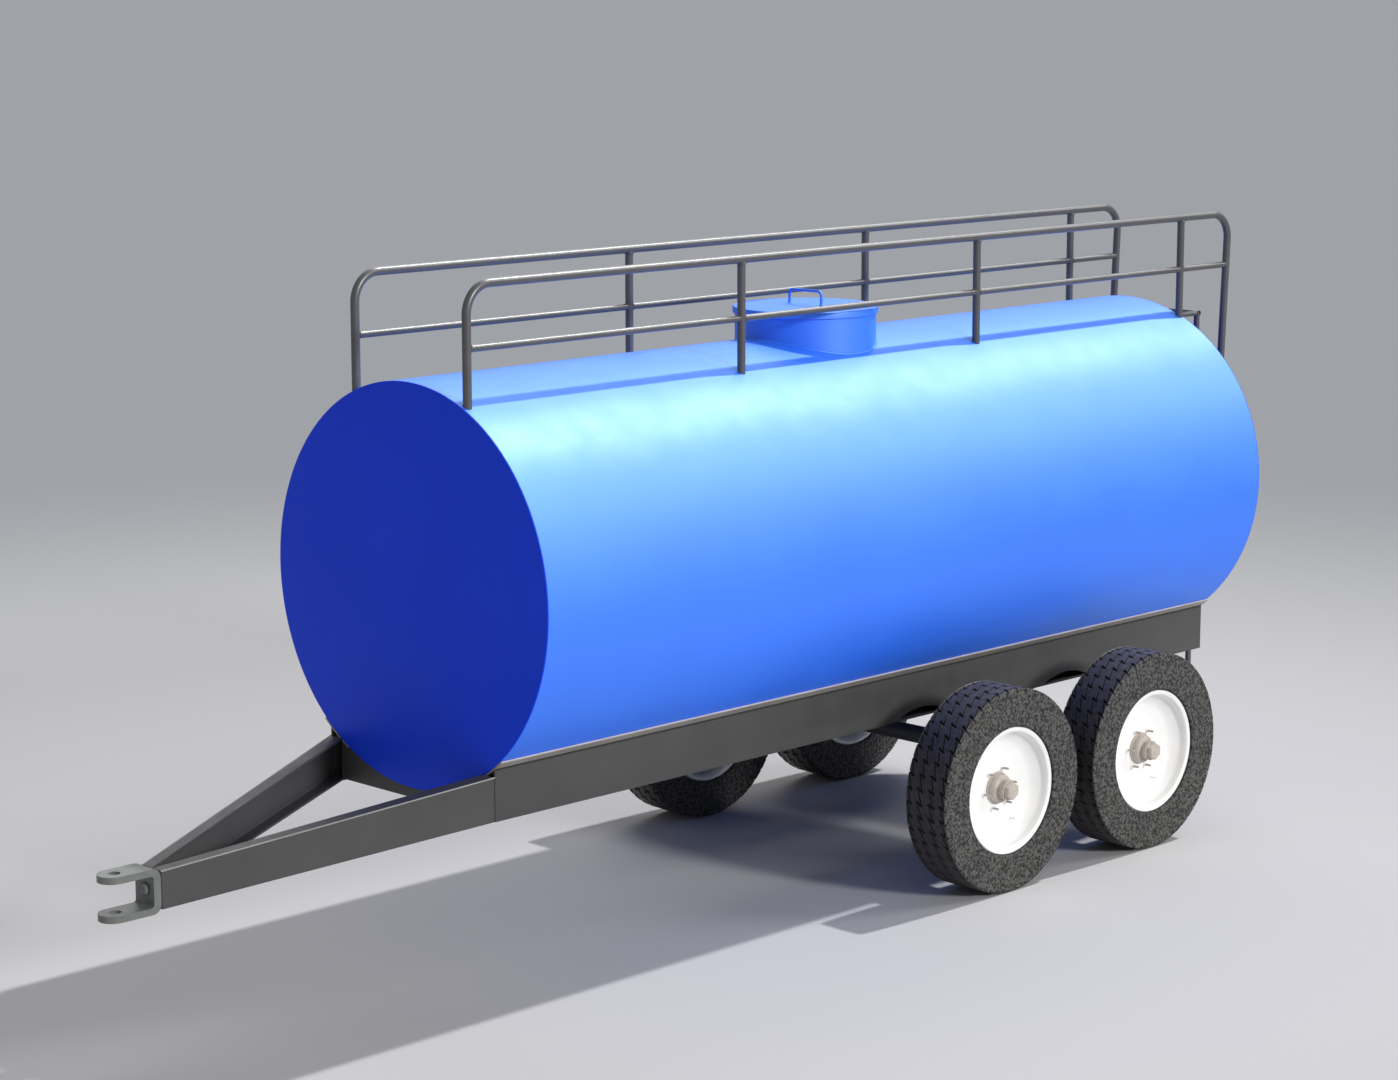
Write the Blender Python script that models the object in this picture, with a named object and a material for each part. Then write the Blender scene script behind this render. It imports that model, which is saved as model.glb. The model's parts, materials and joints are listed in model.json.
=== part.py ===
"""Two-axle tanker trailer: flat-ended cylindrical tank on a pair of fabricated rails with an
A-frame drawbar, a clevis hitch, a walking-beam bogie, four single wheels, a top manhole, two
handrails, a rear ladder and a blanked outlet.

Metres. +X points forward to the hitch, +Y to the trailer's left, +Z up from the ground.
In the sizes below x = 0 is the tank's front face; the datum empty then centres the whole trailer.
"""
import math

import bmesh
import bpy
from mathutils import Matrix, Vector

# Gap left between pieces that touch, and how far a cutter runs past what it cuts
SEAT = 0.0003
OVERRUN = 0.060

# Tank
TANK_RADIUS = 0.900
TANK_LENGTH = 5.050
TANK_BOTTOM_Z = 0.820
TANK_WALL = 0.005
HEAD_THICKNESS = 0.006
TANK_SIDES = 72
TANK_AXIS_Z = TANK_BOTTOM_Z + TANK_RADIUS
TANK_TOP_Z = TANK_AXIS_Z + TANK_RADIUS

# Manhole
MANHOLE_X = -TANK_LENGTH / 2
NECK_RADIUS = 0.342
NECK_WALL = 0.008
LID_RISE = 0.144
LID_THICKNESS = 0.008
LID_SKIRT_DEPTH = 0.036
LID_SKIRT_WALL = 0.005
LID_CLEARANCE = 0.0055
HANDLE_LENGTH = 0.210
HANDLE_HEIGHT = 0.075
HANDLE_BEND = 0.022
HANDLE_BAR = 0.007
NECK_SIDES = 36
LID_TOP_Z = TANK_TOP_Z + LID_RISE

# Outlet low on the rear head: a flanged spigot shut by a blank flange
OUTLET_RADIUS = 0.057
OUTLET_WALL = 0.006
OUTLET_RISE = 0.110
OUTLET_LENGTH = 0.090
OUTLET_FLANGE_RADIUS = 0.100
OUTLET_FLANGE_THICKNESS = 0.016
OUTLET_BLANK_THICKNESS = 0.014
OUTLET_BLANK_CHAMFER = 0.003
OUTLET_SIDES = 16
OUTLET_Z = TANK_BOTTOM_Z + OUTLET_RISE

# Chassis rails and the pads that carry the tank on them
RAIL_FACE_Y = 0.556
RAIL_WEB = 0.010
RAIL_INNER_Y = 0.475
RAIL_INNER_WEB = 0.008
RAIL_FLANGE_THICKNESS = 0.010
RAIL_BOTTOM_Z = 0.768
RAIL_REAR_INSET = 0.010
PAD_THICKNESS = 0.008
PAD_OUTER_OVERHANG = 0.032
PAD_INNER_OVERHANG = 0.039
PAD_STEPS = 4
ARCH_HEIGHT = 0.052
ARCH_HALF_WIDTH = 0.285
ARCH_STEPS = 5
RAIL_REAR_X = -TANK_LENGTH + RAIL_REAR_INSET
PAD_OUTER_ANGLE = math.acos((RAIL_FACE_Y + PAD_OUTER_OVERHANG) / TANK_RADIUS)
PAD_INNER_ANGLE = math.acos((RAIL_INNER_Y - PAD_INNER_OVERHANG) / TANK_RADIUS)

# A-frame drawbar: two channels that open inwards, tapered and sloping down to the hitch
BEAM_REAR_DEPTH = 0.198
BEAM_FRONT_TOP_Z = 0.737
BEAM_FRONT_BOTTOM_Z = 0.572
BEAM_FRONT_X = 1.395
BEAM_FRONT_FACE_Y = 0.068
BEAM_WEB = 0.010
BEAM_FLANGE_THICKNESS = 0.012
BEAM_FLANGE_WIDTH = 0.081
NOSE_PLATE_THICKNESS = 0.020

# Clevis at the hitch
CLEVIS_WIDTH = 0.130
CLEVIS_TIP_X = 1.651
CLEVIS_TOP_Z = 0.752
CLEVIS_BOTTOM_Z = 0.558
CLEVIS_EAR = 0.030
CLEVIS_BACK = 0.035
CLEVIS_CORNER = 0.040
CLEVIS_INNER_CORNER = 0.014
PIN_HOLE_RADIUS = 0.026
PIN_X = 1.578
BOLT_SHANK = 0.014
BOLT_HEAD_RADIUS = 0.029
BOLT_HEAD_LENGTH = 0.016
BOLT_HEAD_CHAMFER = 0.005
BOLT_NUT_LENGTH = 0.022
BOLT_CLEARANCE = 0.0005
CORNER_STEPS = 5
TIP_STEPS = 12

# Wheels: each axle's x, measured from the tank's front face
FRONT_AXLE_X = -2.776
TYRE_CLEARANCE = 0.115
WHEEL_CENTRE_Y = 1.010
TYRE_RADIUS = 0.500
TYRE_WIDTH = 0.242
TYRE_SHOULDER = 0.012
TYRE_BEAD_GAP = 0.002
RIM_SEAT_RADIUS = 0.290
RIM_SEAT_HALF = 0.100
RIM_FLANGE_HEIGHT = 0.019
RIM_FLANGE = 0.012
RIM_WALL = 0.010
RIM_LIP = 0.012
DISC_OFFSET = 0.022
DISC_THICKNESS = 0.010
DISC_INSET = 0.065
DISC_FRONT_RISE = 0.045
DISC_BACK_RISE = 0.030
TYRE_STEPS = 36
RIM_STEPS = 24
AXLE_SPACING = 2 * TYRE_RADIUS + TYRE_CLEARANCE
AXLES = (("front", FRONT_AXLE_X), ("rear", FRONT_AXLE_X - AXLE_SPACING))
SIDES = (("left", 1), ("right", -1))
RIM_FLANGE_RADIUS = RIM_SEAT_RADIUS + RIM_FLANGE_HEIGHT

# Axle height: each tyre stands on one of its flats
AXLE_Z = TYRE_RADIUS * math.cos(math.pi / TYRE_STEPS)

# Walking-beam bogie: a cross shaft hangs under the rails and a beam rocks on each of its ends
CROSS_SHAFT_RADIUS = 0.045
CROSS_SHAFT_CAP_RADIUS = 0.061
CROSS_SHAFT_CAP = 0.010
HANGER_INSET = 0.005
HANGER_HALF_TOP = 0.190
HANGER_BOSS_RADIUS = 0.080
HANGER_STEPS = 10
ROCKER_CLEARANCE = 0.049
ROCKER_WIDTH = 0.085
ROCKER_CENTRE_RADIUS = 0.088
ROCKER_END_RADIUS = 0.070
ROCKER_STEPS = 8
STUB_RADIUS = 0.036
STUB_SHOULDER_RADIUS = 0.047
STUB_REACH = 0.050
BACKPLATE_THICKNESS = 0.008
RUNNING_GAP = 0.006
STUB_STEPS = 12
SHAFT_STEPS = 16
BOGIE_X = FRONT_AXLE_X - AXLE_SPACING / 2
ROCKER_INNER_Y = RAIL_FACE_Y + ROCKER_CLEARANCE
ROCKER_OUTER_Y = ROCKER_INNER_Y + ROCKER_WIDTH
STUB_END_Y = WHEEL_CENTRE_Y + STUB_REACH

# Hubs and brake drums
HUB_BARREL_RADIUS = 0.075
HUB_BARREL_LENGTH = 0.028
HUB_SLEEVE_RADIUS = 0.0675
HUB_SLEEVE_INSET = 0.095
HUB_FLANGE_RADIUS = 0.130
HUB_FLANGE_THICKNESS = 0.016
HUB_REACH = 0.128
HUB_COLLAR_RADIUS = 0.054
HUB_COLLAR_LENGTH = 0.014
NUT_FLAT = 0.038
NUT_LENGTH = 0.044
DRUM_RADIUS = 0.160
DRUM_WALL = 0.012
DRUM_CLEARANCE = 0.045
DRUM_SHOULDER = 0.050
HUB_STEPS = 18
DRUM_STEPS = 16
HUB_NOSE_Y = WHEEL_CENTRE_Y + HUB_REACH
DRUM_INNER_Y = ROCKER_OUTER_Y + DRUM_CLEARANCE

# Cross plates under the tank: name and the x of the plate's front face
SADDLE_THICKNESS = 0.010
SADDLE_INSET = 0.004
SADDLE_LIFT = 0.006
SADDLE_STEPS = 16
FORWARD_SADDLE_X = -1.700
BOGIE_SADDLE_LEAD = 0.0335
SADDLES = (
    ("front_saddle", -SADDLE_INSET),
    ("forward_saddle", FORWARD_SADDLE_X),
    ("bogie_saddle", BOGIE_X + BOGIE_SADDLE_LEAD),
    ("rear_saddle", RAIL_REAR_X + SADDLE_THICKNESS + SADDLE_INSET),
)

# Handrails
RAIL_TUBE = 0.020
POST_TUBE = 0.0192
MID_TUBE = 0.016
HANDRAIL_Y = 0.370
HANDRAIL_HEIGHT = 0.442
HANDRAIL_MID_HEIGHT = 0.168
HANDRAIL_BEND = 0.130
POST_FRONT_INSET = 0.035
POST_REAR_INSET = 0.020
POST_COUNT = 4
LEG_TOP_REACH = 0.403
LEG_FOOT_REACH = 0.346
LEG_FOOT_RISE = 0.200
TUBE_SIDES = 8
BEND_STEPS = 4
HANDRAIL_TOP_Z = TANK_TOP_Z + HANDRAIL_HEIGHT
HANDRAIL_MID_Z = TANK_TOP_Z + HANDRAIL_MID_HEIGHT
POST_FRONT_X = -POST_FRONT_INSET
POST_PITCH = (TANK_LENGTH - POST_FRONT_INSET - POST_REAR_INSET) / (POST_COUNT - 1)
LEG_TOP_X = -TANK_LENGTH - LEG_TOP_REACH
LEG_FOOT_X = -TANK_LENGTH - LEG_FOOT_REACH
LEG_FOOT_Z = TANK_AXIS_Z + LEG_FOOT_RISE

# Ladder
LADDER_REACH = 0.200
LADDER_Y = 0.325
LADDER_TUBE = 0.016
RUNG_TUBE = 0.015
STAY_TUBE = 0.0144
LADDER_TOP_DROP = 0.084
LADDER_FOOT_Z = 0.470
LADDER_STAY_DROP = 0.450
RUNG_COUNT = 8
RUNG_OVERHANG = 0.016
RUNG_BORE = 0.011
RUNG_BORE_DEPTH = 0.030
LADDER_X = -TANK_LENGTH - LADDER_REACH
LADDER_TOP_Z = TANK_TOP_Z - LADDER_TOP_DROP
LADDER_STAY_Z = TANK_AXIS_Z - LADDER_STAY_DROP


# Scene and materials

def clear_scene():
    """Start from an empty scene."""
    for item in list(bpy.data.objects):
        bpy.data.objects.remove(item, do_unlink=True)


def material(name, colour, metallic, roughness):
    """A Principled material of one colour."""
    made = bpy.data.materials.new(name)
    made.use_nodes = True
    shader = made.node_tree.nodes["Principled BSDF"]
    shader.inputs["Base Color"].default_value = (*colour, 1.0)
    shader.inputs["Metallic"].default_value = metallic
    shader.inputs["Roughness"].default_value = roughness
    return made


def empty(name, location, parent=None):
    """A plain axis that other objects hang from."""
    item = bpy.data.objects.new(name, None)
    item.location = location
    item.parent = parent
    bpy.context.scene.collection.objects.link(item)
    return item


def finish(name, mesh, paint, parent, smooth_angle=35.0):
    """Turn a bmesh into a named object under its parent."""
    bmesh.ops.recalc_face_normals(mesh, faces=mesh.faces)
    data = bpy.data.meshes.new(name)
    mesh.to_mesh(data)
    mesh.free()
    data.shade_smooth()
    data.set_sharp_from_angle(angle=math.radians(smooth_angle))
    item = bpy.data.objects.new(name, data)
    if paint is not None:
        data.materials.append(paint)
    item.parent = parent
    bpy.context.scene.collection.objects.link(item)
    return item


def guide(name, mesh, parent):
    """A helper solid that only shapes other objects."""
    item = finish(name, mesh, None, parent)
    item.hide_render = True
    item.display_type = "WIRE"
    return item


def combine(target, tool, operation):
    """Union or cut a target with a guide."""
    step = target.modifiers.new(operation.lower() + "_" + tool.name, "BOOLEAN")
    step.operation = operation
    step.object = tool
    step.solver = "EXACT"


# Shapes

def prism(outline, axis, low, high):
    """Extrude a closed outline along an axis; 2D points are the other two axes in order."""
    mesh = bmesh.new()
    add_prism(mesh, outline, axis, low, high)
    return mesh


def add_prism(mesh, outline, axis, low, high):
    """Add one extruded outline to a mesh."""
    place = {
        "x": lambda u, v, t: (t, u, v),
        "y": lambda u, v, t: (u, t, v),
        "z": lambda u, v, t: (u, v, t),
    }[axis]
    lower = [mesh.verts.new(place(u, v, low)) for u, v in outline]
    upper = [mesh.verts.new(place(u, v, high)) for u, v in outline]
    mesh.faces.new(lower)
    mesh.faces.new(upper)
    count = len(outline)
    for i in range(count):
        j = (i + 1) % count
        mesh.faces.new((lower[i], lower[j], upper[j], upper[i]))


def arc(centre, radius, start, end, steps):
    """Points on an arc, angles in radians."""
    points = []
    for i in range(steps + 1):
        angle = start + (end - start) * i / steps
        points.append((centre[0] + radius * math.cos(angle), centre[1] + radius * math.sin(angle)))
    return points


def turn(profile, steps, centre=(0.0, 0.0, 0.0), side=1, hexagonal=(), phase=0.0):
    """Turn a closed profile of (radius, y) points round the y axis.

    Points at radius 0 become single points. Indices in hexagonal follow a hexagon whose
    flats stand at the point's radius. A phase of half a step puts a flat at the bottom.
    """
    mesh = bmesh.new()
    rings = []
    for index, (radius, along) in enumerate(profile):
        place = centre[1] + side * along
        if radius == 0.0:
            rings.append([mesh.verts.new((centre[0], place, centre[2]))])
            continue
        ring = []
        for i in range(steps):
            angle = 2 * math.pi * (i + phase) / steps
            reach = radius
            if index in hexagonal:
                sector = (angle + math.pi / 6) % (math.pi / 3) - math.pi / 6
                reach = radius / math.cos(sector)
            ring.append(mesh.verts.new((
                centre[0] + reach * math.cos(angle), place, centre[2] + reach * math.sin(angle))))
        rings.append(ring)
    count = len(rings)
    for index in range(count):
        first = rings[index]
        second = rings[(index + 1) % count]
        for i in range(steps):
            j = (i + 1) % steps
            corners = [first[i % len(first)], first[j % len(first)],
                       second[j % len(second)], second[i % len(second)]]
            unique = list(dict.fromkeys(corners))
            if len(unique) >= 3:
                mesh.faces.new(unique)
    return mesh


def revolve_rearwards(profile, steps, origin):
    """Turn a closed profile of (radius, distance) points round a line that runs towards -x."""
    mesh = turn(profile, steps)
    quarter = Matrix.Rotation(math.pi / 2, 4, "Z")
    bmesh.ops.transform(mesh, matrix=Matrix.Translation(origin) @ quarter, verts=mesh.verts)
    return mesh


def cylinder(mesh, start, end, radius, sides):
    """Add a straight closed round bar to a mesh."""
    add_tube(mesh, [Vector(start), Vector(end)], radius, sides)


def rounded(points, radius, steps):
    """A path whose inner corners are rounded by arcs."""
    path = [Vector(points[0])]
    for before, corner, after in zip(points, points[1:], points[2:]):
        corner = Vector(corner)
        back = (Vector(before) - corner).normalized()
        ahead = (Vector(after) - corner).normalized()
        half = back.angle(ahead) / 2
        reach = radius / math.tan(half)
        centre = corner + (back + ahead).normalized() * radius / math.sin(half)
        start = corner + back * reach - centre
        end = corner + ahead * reach - centre
        for i in range(steps + 1):
            path.append(centre + start.slerp(end, i / steps).normalized() * radius)
    path.append(Vector(points[-1]))
    return path


def add_tube(mesh, path, radius, sides):
    """Sweep a regular polygon along a path that lies in one plane, and cap its ends."""
    spread = Vector((0, 0, 0))
    for before, point, after in zip(path, path[1:], path[2:]):
        spread += (point - before).cross(after - point)
    direction = (path[-1] - path[0]).normalized()
    if spread.length < 1e-9:
        reference = Vector((0, 0, 1)) if abs(direction.z) < 0.9 else Vector((1, 0, 0))
        spread = direction.cross(reference)
    normal = spread.normalized()
    rings = []
    for index, point in enumerate(path):
        entering = (point - path[index - 1]).normalized() if index > 0 else None
        leaving = (path[index + 1] - point).normalized() if index < len(path) - 1 else None
        along = ((entering or leaving) + (leaving or entering)).normalized()
        across = normal.cross(along).normalized()
        stretch = 1.0
        if entering is not None and leaving is not None:
            stretch = 1.0 / max(math.cos(entering.angle(leaving) / 2), 0.5)
        ring = []
        for i in range(sides):
            angle = 2 * math.pi * (i + 0.5) / sides
            offset = normal * math.cos(angle) + across * math.sin(angle) * stretch
            ring.append(mesh.verts.new(point + offset * radius))
        rings.append(ring)
    for first, second in zip(rings, rings[1:]):
        for i in range(sides):
            j = (i + 1) % sides
            mesh.faces.new((first[i], first[j], second[j], second[i]))
    mesh.faces.new(rings[0])
    mesh.faces.new(rings[-1])


def tank_circle(angle, radius):
    """(y, z) on a circle round the tank's axis; the angle is measured down from +Y."""
    return (radius * math.cos(angle), TANK_AXIS_Z - radius * math.sin(angle))


def belly_z(y, radius):
    """Height of a circle round the tank's axis, on its underside."""
    return TANK_AXIS_Z - math.sqrt(radius * radius - y * y)


def crown_z(y):
    """Height of the tank's top surface at a distance from its middle."""
    return TANK_AXIS_Z + math.sqrt(TANK_RADIUS * TANK_RADIUS - y * y)


# Radii of what lies against the tank, kept clear of its facets
PAD_ARC = (PAD_INNER_ANGLE - PAD_OUTER_ANGLE) / PAD_STEPS
PAD_INNER_RADIUS = (TANK_RADIUS + SEAT) / math.cos(PAD_ARC / 2)
PAD_OUTER_RADIUS = PAD_INNER_RADIUS + PAD_THICKNESS
UNDER_PAD_RADIUS = PAD_OUTER_RADIUS + SEAT
ENVELOPE_RADIUS = TANK_RADIUS + SEAT


# Tank

def build_tank(datum, blue):
    """Shell, two flat heads and the manhole's neck."""
    step = 2 * math.pi / TANK_SIDES
    outer = [tank_circle(i * step, TANK_RADIUS) for i in range(TANK_SIDES)]
    inner = [tank_circle(i * step, TANK_RADIUS - TANK_WALL) for i in range(TANK_SIDES)]
    ends = (-TANK_LENGTH + HEAD_THICKNESS + SEAT, -HEAD_THICKNESS - SEAT)
    mesh = bmesh.new()
    loops = []
    for ring in (outer, inner):
        for x in ends:
            loops.append([mesh.verts.new((x, y, z)) for y, z in ring])
    outer_rear, outer_front, inner_rear, inner_front = loops
    for first, second in ((outer_rear, outer_front), (outer_front, inner_front),
                          (inner_front, inner_rear), (inner_rear, outer_rear)):
        for i in range(TANK_SIDES):
            j = (i + 1) % TANK_SIDES
            mesh.faces.new((first[i], first[j], second[j], second[i]))
    shell = finish("tank_shell", mesh, blue, datum)
    opening = bmesh.new()
    cylinder(opening, (MANHOLE_X, 0, TANK_AXIS_Z), (MANHOLE_X, 0, LID_TOP_Z),
             NECK_RADIUS - NECK_WALL, NECK_SIDES)
    combine(shell, guide("manhole_opening", opening, datum), "DIFFERENCE")
    finish("tank_front_head", prism(outer, "x", -HEAD_THICKNESS, 0.0), blue, datum)
    rear = finish("tank_rear_head", prism(outer, "x", -TANK_LENGTH, -TANK_LENGTH + HEAD_THICKNESS),
                  blue, datum)
    port = bmesh.new()
    cylinder(port, (-TANK_LENGTH - OVERRUN, 0, OUTLET_Z), (-TANK_LENGTH + OVERRUN, 0, OUTLET_Z),
             OUTLET_RADIUS - OUTLET_WALL, OUTLET_SIDES)
    combine(rear, guide("outlet_port", port, datum), "DIFFERENCE")


def build_outlet(datum, blue):
    """Flanged spigot on the rear head, and the blank flange that shuts it."""
    end = OUTLET_LENGTH
    bore = OUTLET_RADIUS - OUTLET_WALL
    collar = end - OUTLET_FLANGE_THICKNESS
    spigot = ((OUTLET_RADIUS, SEAT), (OUTLET_RADIUS, collar), (OUTLET_FLANGE_RADIUS, collar),
              (OUTLET_FLANGE_RADIUS, end), (bore, end), (bore, SEAT))
    origin = (-TANK_LENGTH, 0, OUTLET_Z)
    finish("rear_outlet", revolve_rearwards(spigot, OUTLET_SIDES, origin), blue, datum)
    face = end + SEAT
    back = face + OUTLET_BLANK_THICKNESS
    edge = OUTLET_BLANK_CHAMFER
    blank = ((0.0, face), (OUTLET_FLANGE_RADIUS, face), (OUTLET_FLANGE_RADIUS, back - edge),
             (OUTLET_FLANGE_RADIUS - edge, back), (0.0, back))
    finish("outlet_blank_flange", revolve_rearwards(blank, OUTLET_SIDES, origin), blue, datum)


def build_neck(datum, blue, envelope):
    """Round neck that stands on the shell."""
    top = LID_TOP_Z - LID_THICKNESS - SEAT
    foot = crown_z(NECK_RADIUS) - OVERRUN
    mesh = bmesh.new()
    loops = []
    for radius in (NECK_RADIUS, NECK_RADIUS - NECK_WALL):
        for z in (foot, top):
            ring = []
            for i in range(NECK_SIDES):
                angle = 2 * math.pi * i / NECK_SIDES
                ring.append(mesh.verts.new((
                    MANHOLE_X + radius * math.cos(angle), radius * math.sin(angle), z)))
            loops.append(ring)
    outer_low, outer_high, inner_low, inner_high = loops
    for first, second in ((outer_low, outer_high), (outer_high, inner_high),
                          (inner_high, inner_low), (inner_low, outer_low)):
        for i in range(NECK_SIDES):
            j = (i + 1) % NECK_SIDES
            mesh.faces.new((first[i], first[j], second[j], second[i]))
    neck = finish("manhole_neck", mesh, blue, datum)
    combine(neck, envelope, "DIFFERENCE")


def build_lid(datum, blue):
    """Lift-off lid with a skirt round the neck, and its bail handle."""
    pivot = empty("manhole_lid_axis", (MANHOLE_X, 0, LID_TOP_Z), datum)
    skirt_inner = NECK_RADIUS + LID_CLEARANCE
    skirt_outer = skirt_inner + LID_SKIRT_WALL
    profile = ((0.0, 0.0), (skirt_outer, 0.0), (skirt_outer, -LID_SKIRT_DEPTH),
               (skirt_inner, -LID_SKIRT_DEPTH), (skirt_inner, -LID_THICKNESS), (0.0, -LID_THICKNESS))
    mesh = turn(profile, NECK_SIDES)
    upright = Matrix.Rotation(math.pi / 2, 4, "X")
    bmesh.ops.transform(mesh, matrix=upright, verts=mesh.verts)
    finish("manhole_lid", mesh, blue, pivot)
    half = HANDLE_LENGTH / 2
    path = rounded(((0, -half, SEAT), (0, -half, HANDLE_HEIGHT - HANDLE_BAR),
                    (0, half, HANDLE_HEIGHT - HANDLE_BAR), (0, half, SEAT)),
                   HANDLE_BEND, BEND_STEPS)
    handle = bmesh.new()
    add_tube(handle, path, HANDLE_BAR, TUBE_SIDES)
    finish("lid_handle", handle, blue, pivot)


# Chassis

def arch_outline(centre_x):
    """Outline of the clearance arch over an axle: two S-shaped sides made of equal arcs."""
    half_angle = 2 * math.atan(ARCH_HEIGHT / ARCH_HALF_WIDTH)
    radius = ARCH_HALF_WIDTH / (2 * math.sin(half_angle))
    base = RAIL_BOTTOM_Z
    lower = (ARCH_HALF_WIDTH, base + radius)
    upper = (0.0, base + ARCH_HEIGHT - radius)
    half = arc(lower, radius, -math.pi / 2, -math.pi / 2 - half_angle, ARCH_STEPS)
    half += arc(upper, radius, math.pi / 2 - half_angle, math.pi / 2, ARCH_STEPS)[1:]
    right = [(centre_x + x, z) for x, z in half]
    left = [(centre_x - x, z) for x, z in reversed(half[:-1])]
    below = base - RAIL_FLANGE_THICKNESS
    return [(centre_x + ARCH_HALF_WIDTH, below)] + right + left + [(centre_x - ARCH_HALF_WIDTH, below)]


def build_rails(datum, grey):
    """Rails open to the pads above them, with an arch in the outer web over each axle."""
    inner = RAIL_FACE_Y - RAIL_WEB
    inner_web = RAIL_INNER_Y + RAIL_INNER_WEB
    for side_name, side in SIDES:
        floor = RAIL_BOTTOM_Z + RAIL_FLANGE_THICKNESS
        profile = [
            (RAIL_FACE_Y, RAIL_BOTTOM_Z),
            (RAIL_FACE_Y, belly_z(RAIL_FACE_Y, UNDER_PAD_RADIUS)),
            (inner, belly_z(inner, UNDER_PAD_RADIUS)),
            (inner, floor),
            (inner_web, floor),
            (inner_web, belly_z(inner_web, UNDER_PAD_RADIUS)),
            (RAIL_INNER_Y, belly_z(RAIL_INNER_Y, UNDER_PAD_RADIUS)),
            (RAIL_INNER_Y, RAIL_BOTTOM_Z),
        ]
        rail = finish(side_name + "_main_rail",
                      prism([(side * y, z) for y, z in profile], "x", RAIL_REAR_X, -SEAT),
                      grey, datum)
        arches = bmesh.new()
        for _, axle_x in AXLES:
            add_prism(arches, arch_outline(axle_x), "y", side * inner, side * (RAIL_FACE_Y + RAIL_WEB))
        combine(rail, guide(side_name + "_rail_arches", arches, datum), "DIFFERENCE")
        outer_arc = [tank_circle(PAD_OUTER_ANGLE + PAD_ARC * i, PAD_OUTER_RADIUS)
                     for i in range(PAD_STEPS + 1)]
        inner_arc = [tank_circle(PAD_OUTER_ANGLE + PAD_ARC * i, PAD_INNER_RADIUS)
                     for i in range(PAD_STEPS + 1)]
        strip = [(side * y, z) for y, z in outer_arc + inner_arc[::-1]]
        finish(side_name + "_tank_pad", prism(strip, "x", -TANK_LENGTH, 0.0), grey, datum)


def build_saddles(datum, grey):
    """Cross plates between the rails that follow the tank's belly."""
    reach = RAIL_INNER_Y - SEAT
    pad_edge = PAD_INNER_RADIUS * math.cos(PAD_INNER_ANGLE) - SEAT
    limit = math.asin(pad_edge / TANK_RADIUS)
    clear = ENVELOPE_RADIUS / math.cos(limit / SADDLE_STEPS)
    below_pad = UNDER_PAD_RADIUS + SEAT
    top = [(reach, belly_z(reach, below_pad)), (pad_edge, belly_z(pad_edge, below_pad))]
    for i in range(SADDLE_STEPS + 1):
        angle = limit - 2 * limit * i / SADDLE_STEPS
        top.append((clear * math.sin(angle), TANK_AXIS_Z - clear * math.cos(angle)))
    top += [(-y, z) for y, z in reversed(top[:2])]
    bottom = RAIL_BOTTOM_Z + SADDLE_LIFT
    outline = top + [(-reach, bottom), (reach, bottom)]
    for name, front in SADDLES:
        finish(name, prism(outline, "x", front - SADDLE_THICKNESS, front), grey, datum)


def build_drawbar(datum, grey):
    """Two tapered channels from the rails' front ends to the clevis."""
    for side_name, side in SIDES:
        mesh = bmesh.new()
        sections = []
        for x, face, top, bottom in ((SEAT, RAIL_FACE_Y, RAIL_BOTTOM_Z + BEAM_REAR_DEPTH, RAIL_BOTTOM_Z),
                                     (BEAM_FRONT_X - SEAT, BEAM_FRONT_FACE_Y,
                                      BEAM_FRONT_TOP_Z, BEAM_FRONT_BOTTOM_Z)):
            web = face - BEAM_WEB
            lip = max(face - BEAM_FLANGE_WIDTH, SEAT)
            section = ((face, bottom), (face, top), (lip, top), (lip, top - BEAM_FLANGE_THICKNESS),
                       (web, top - BEAM_FLANGE_THICKNESS), (web, bottom + BEAM_FLANGE_THICKNESS),
                       (lip, bottom + BEAM_FLANGE_THICKNESS), (lip, bottom))
            sections.append([mesh.verts.new((x, side * y, z)) for y, z in section])
        rear, front = sections
        for i in range(len(rear)):
            j = (i + 1) % len(rear)
            mesh.faces.new((rear[i], rear[j], front[j], front[i]))
        mesh.faces.new(rear)
        mesh.faces.new(front)
        finish(side_name + "_drawbar_beam", mesh, grey, datum)
    rise = (RAIL_BOTTOM_Z - BEAM_FRONT_BOTTOM_Z) / BEAM_FRONT_X * NOSE_PLATE_THICKNESS
    low = BEAM_FRONT_BOTTOM_Z + BEAM_FLANGE_THICKNESS + rise + SEAT
    high = BEAM_FRONT_TOP_Z - BEAM_FLANGE_THICKNESS - SEAT
    half = BEAM_FRONT_FACE_Y - BEAM_WEB - SEAT
    outline = [(-half, low), (half, low), (half, high), (-half, high)]
    plate = finish("drawbar_nose_plate",
                   prism(outline, "x", BEAM_FRONT_X - NOSE_PLATE_THICKNESS, BEAM_FRONT_X - SEAT),
                   grey, datum)
    middle = (CLEVIS_TOP_Z + CLEVIS_BOTTOM_Z) / 2
    bore = bmesh.new()
    cylinder(bore, (BEAM_FRONT_X - 2 * NOSE_PLATE_THICKNESS, 0, middle),
             (BEAM_FRONT_X + NOSE_PLATE_THICKNESS, 0, middle), BOLT_SHANK + BOLT_CLEARANCE, TIP_STEPS)
    combine(plate, guide("nose_plate_hole", bore, datum), "DIFFERENCE")


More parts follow.
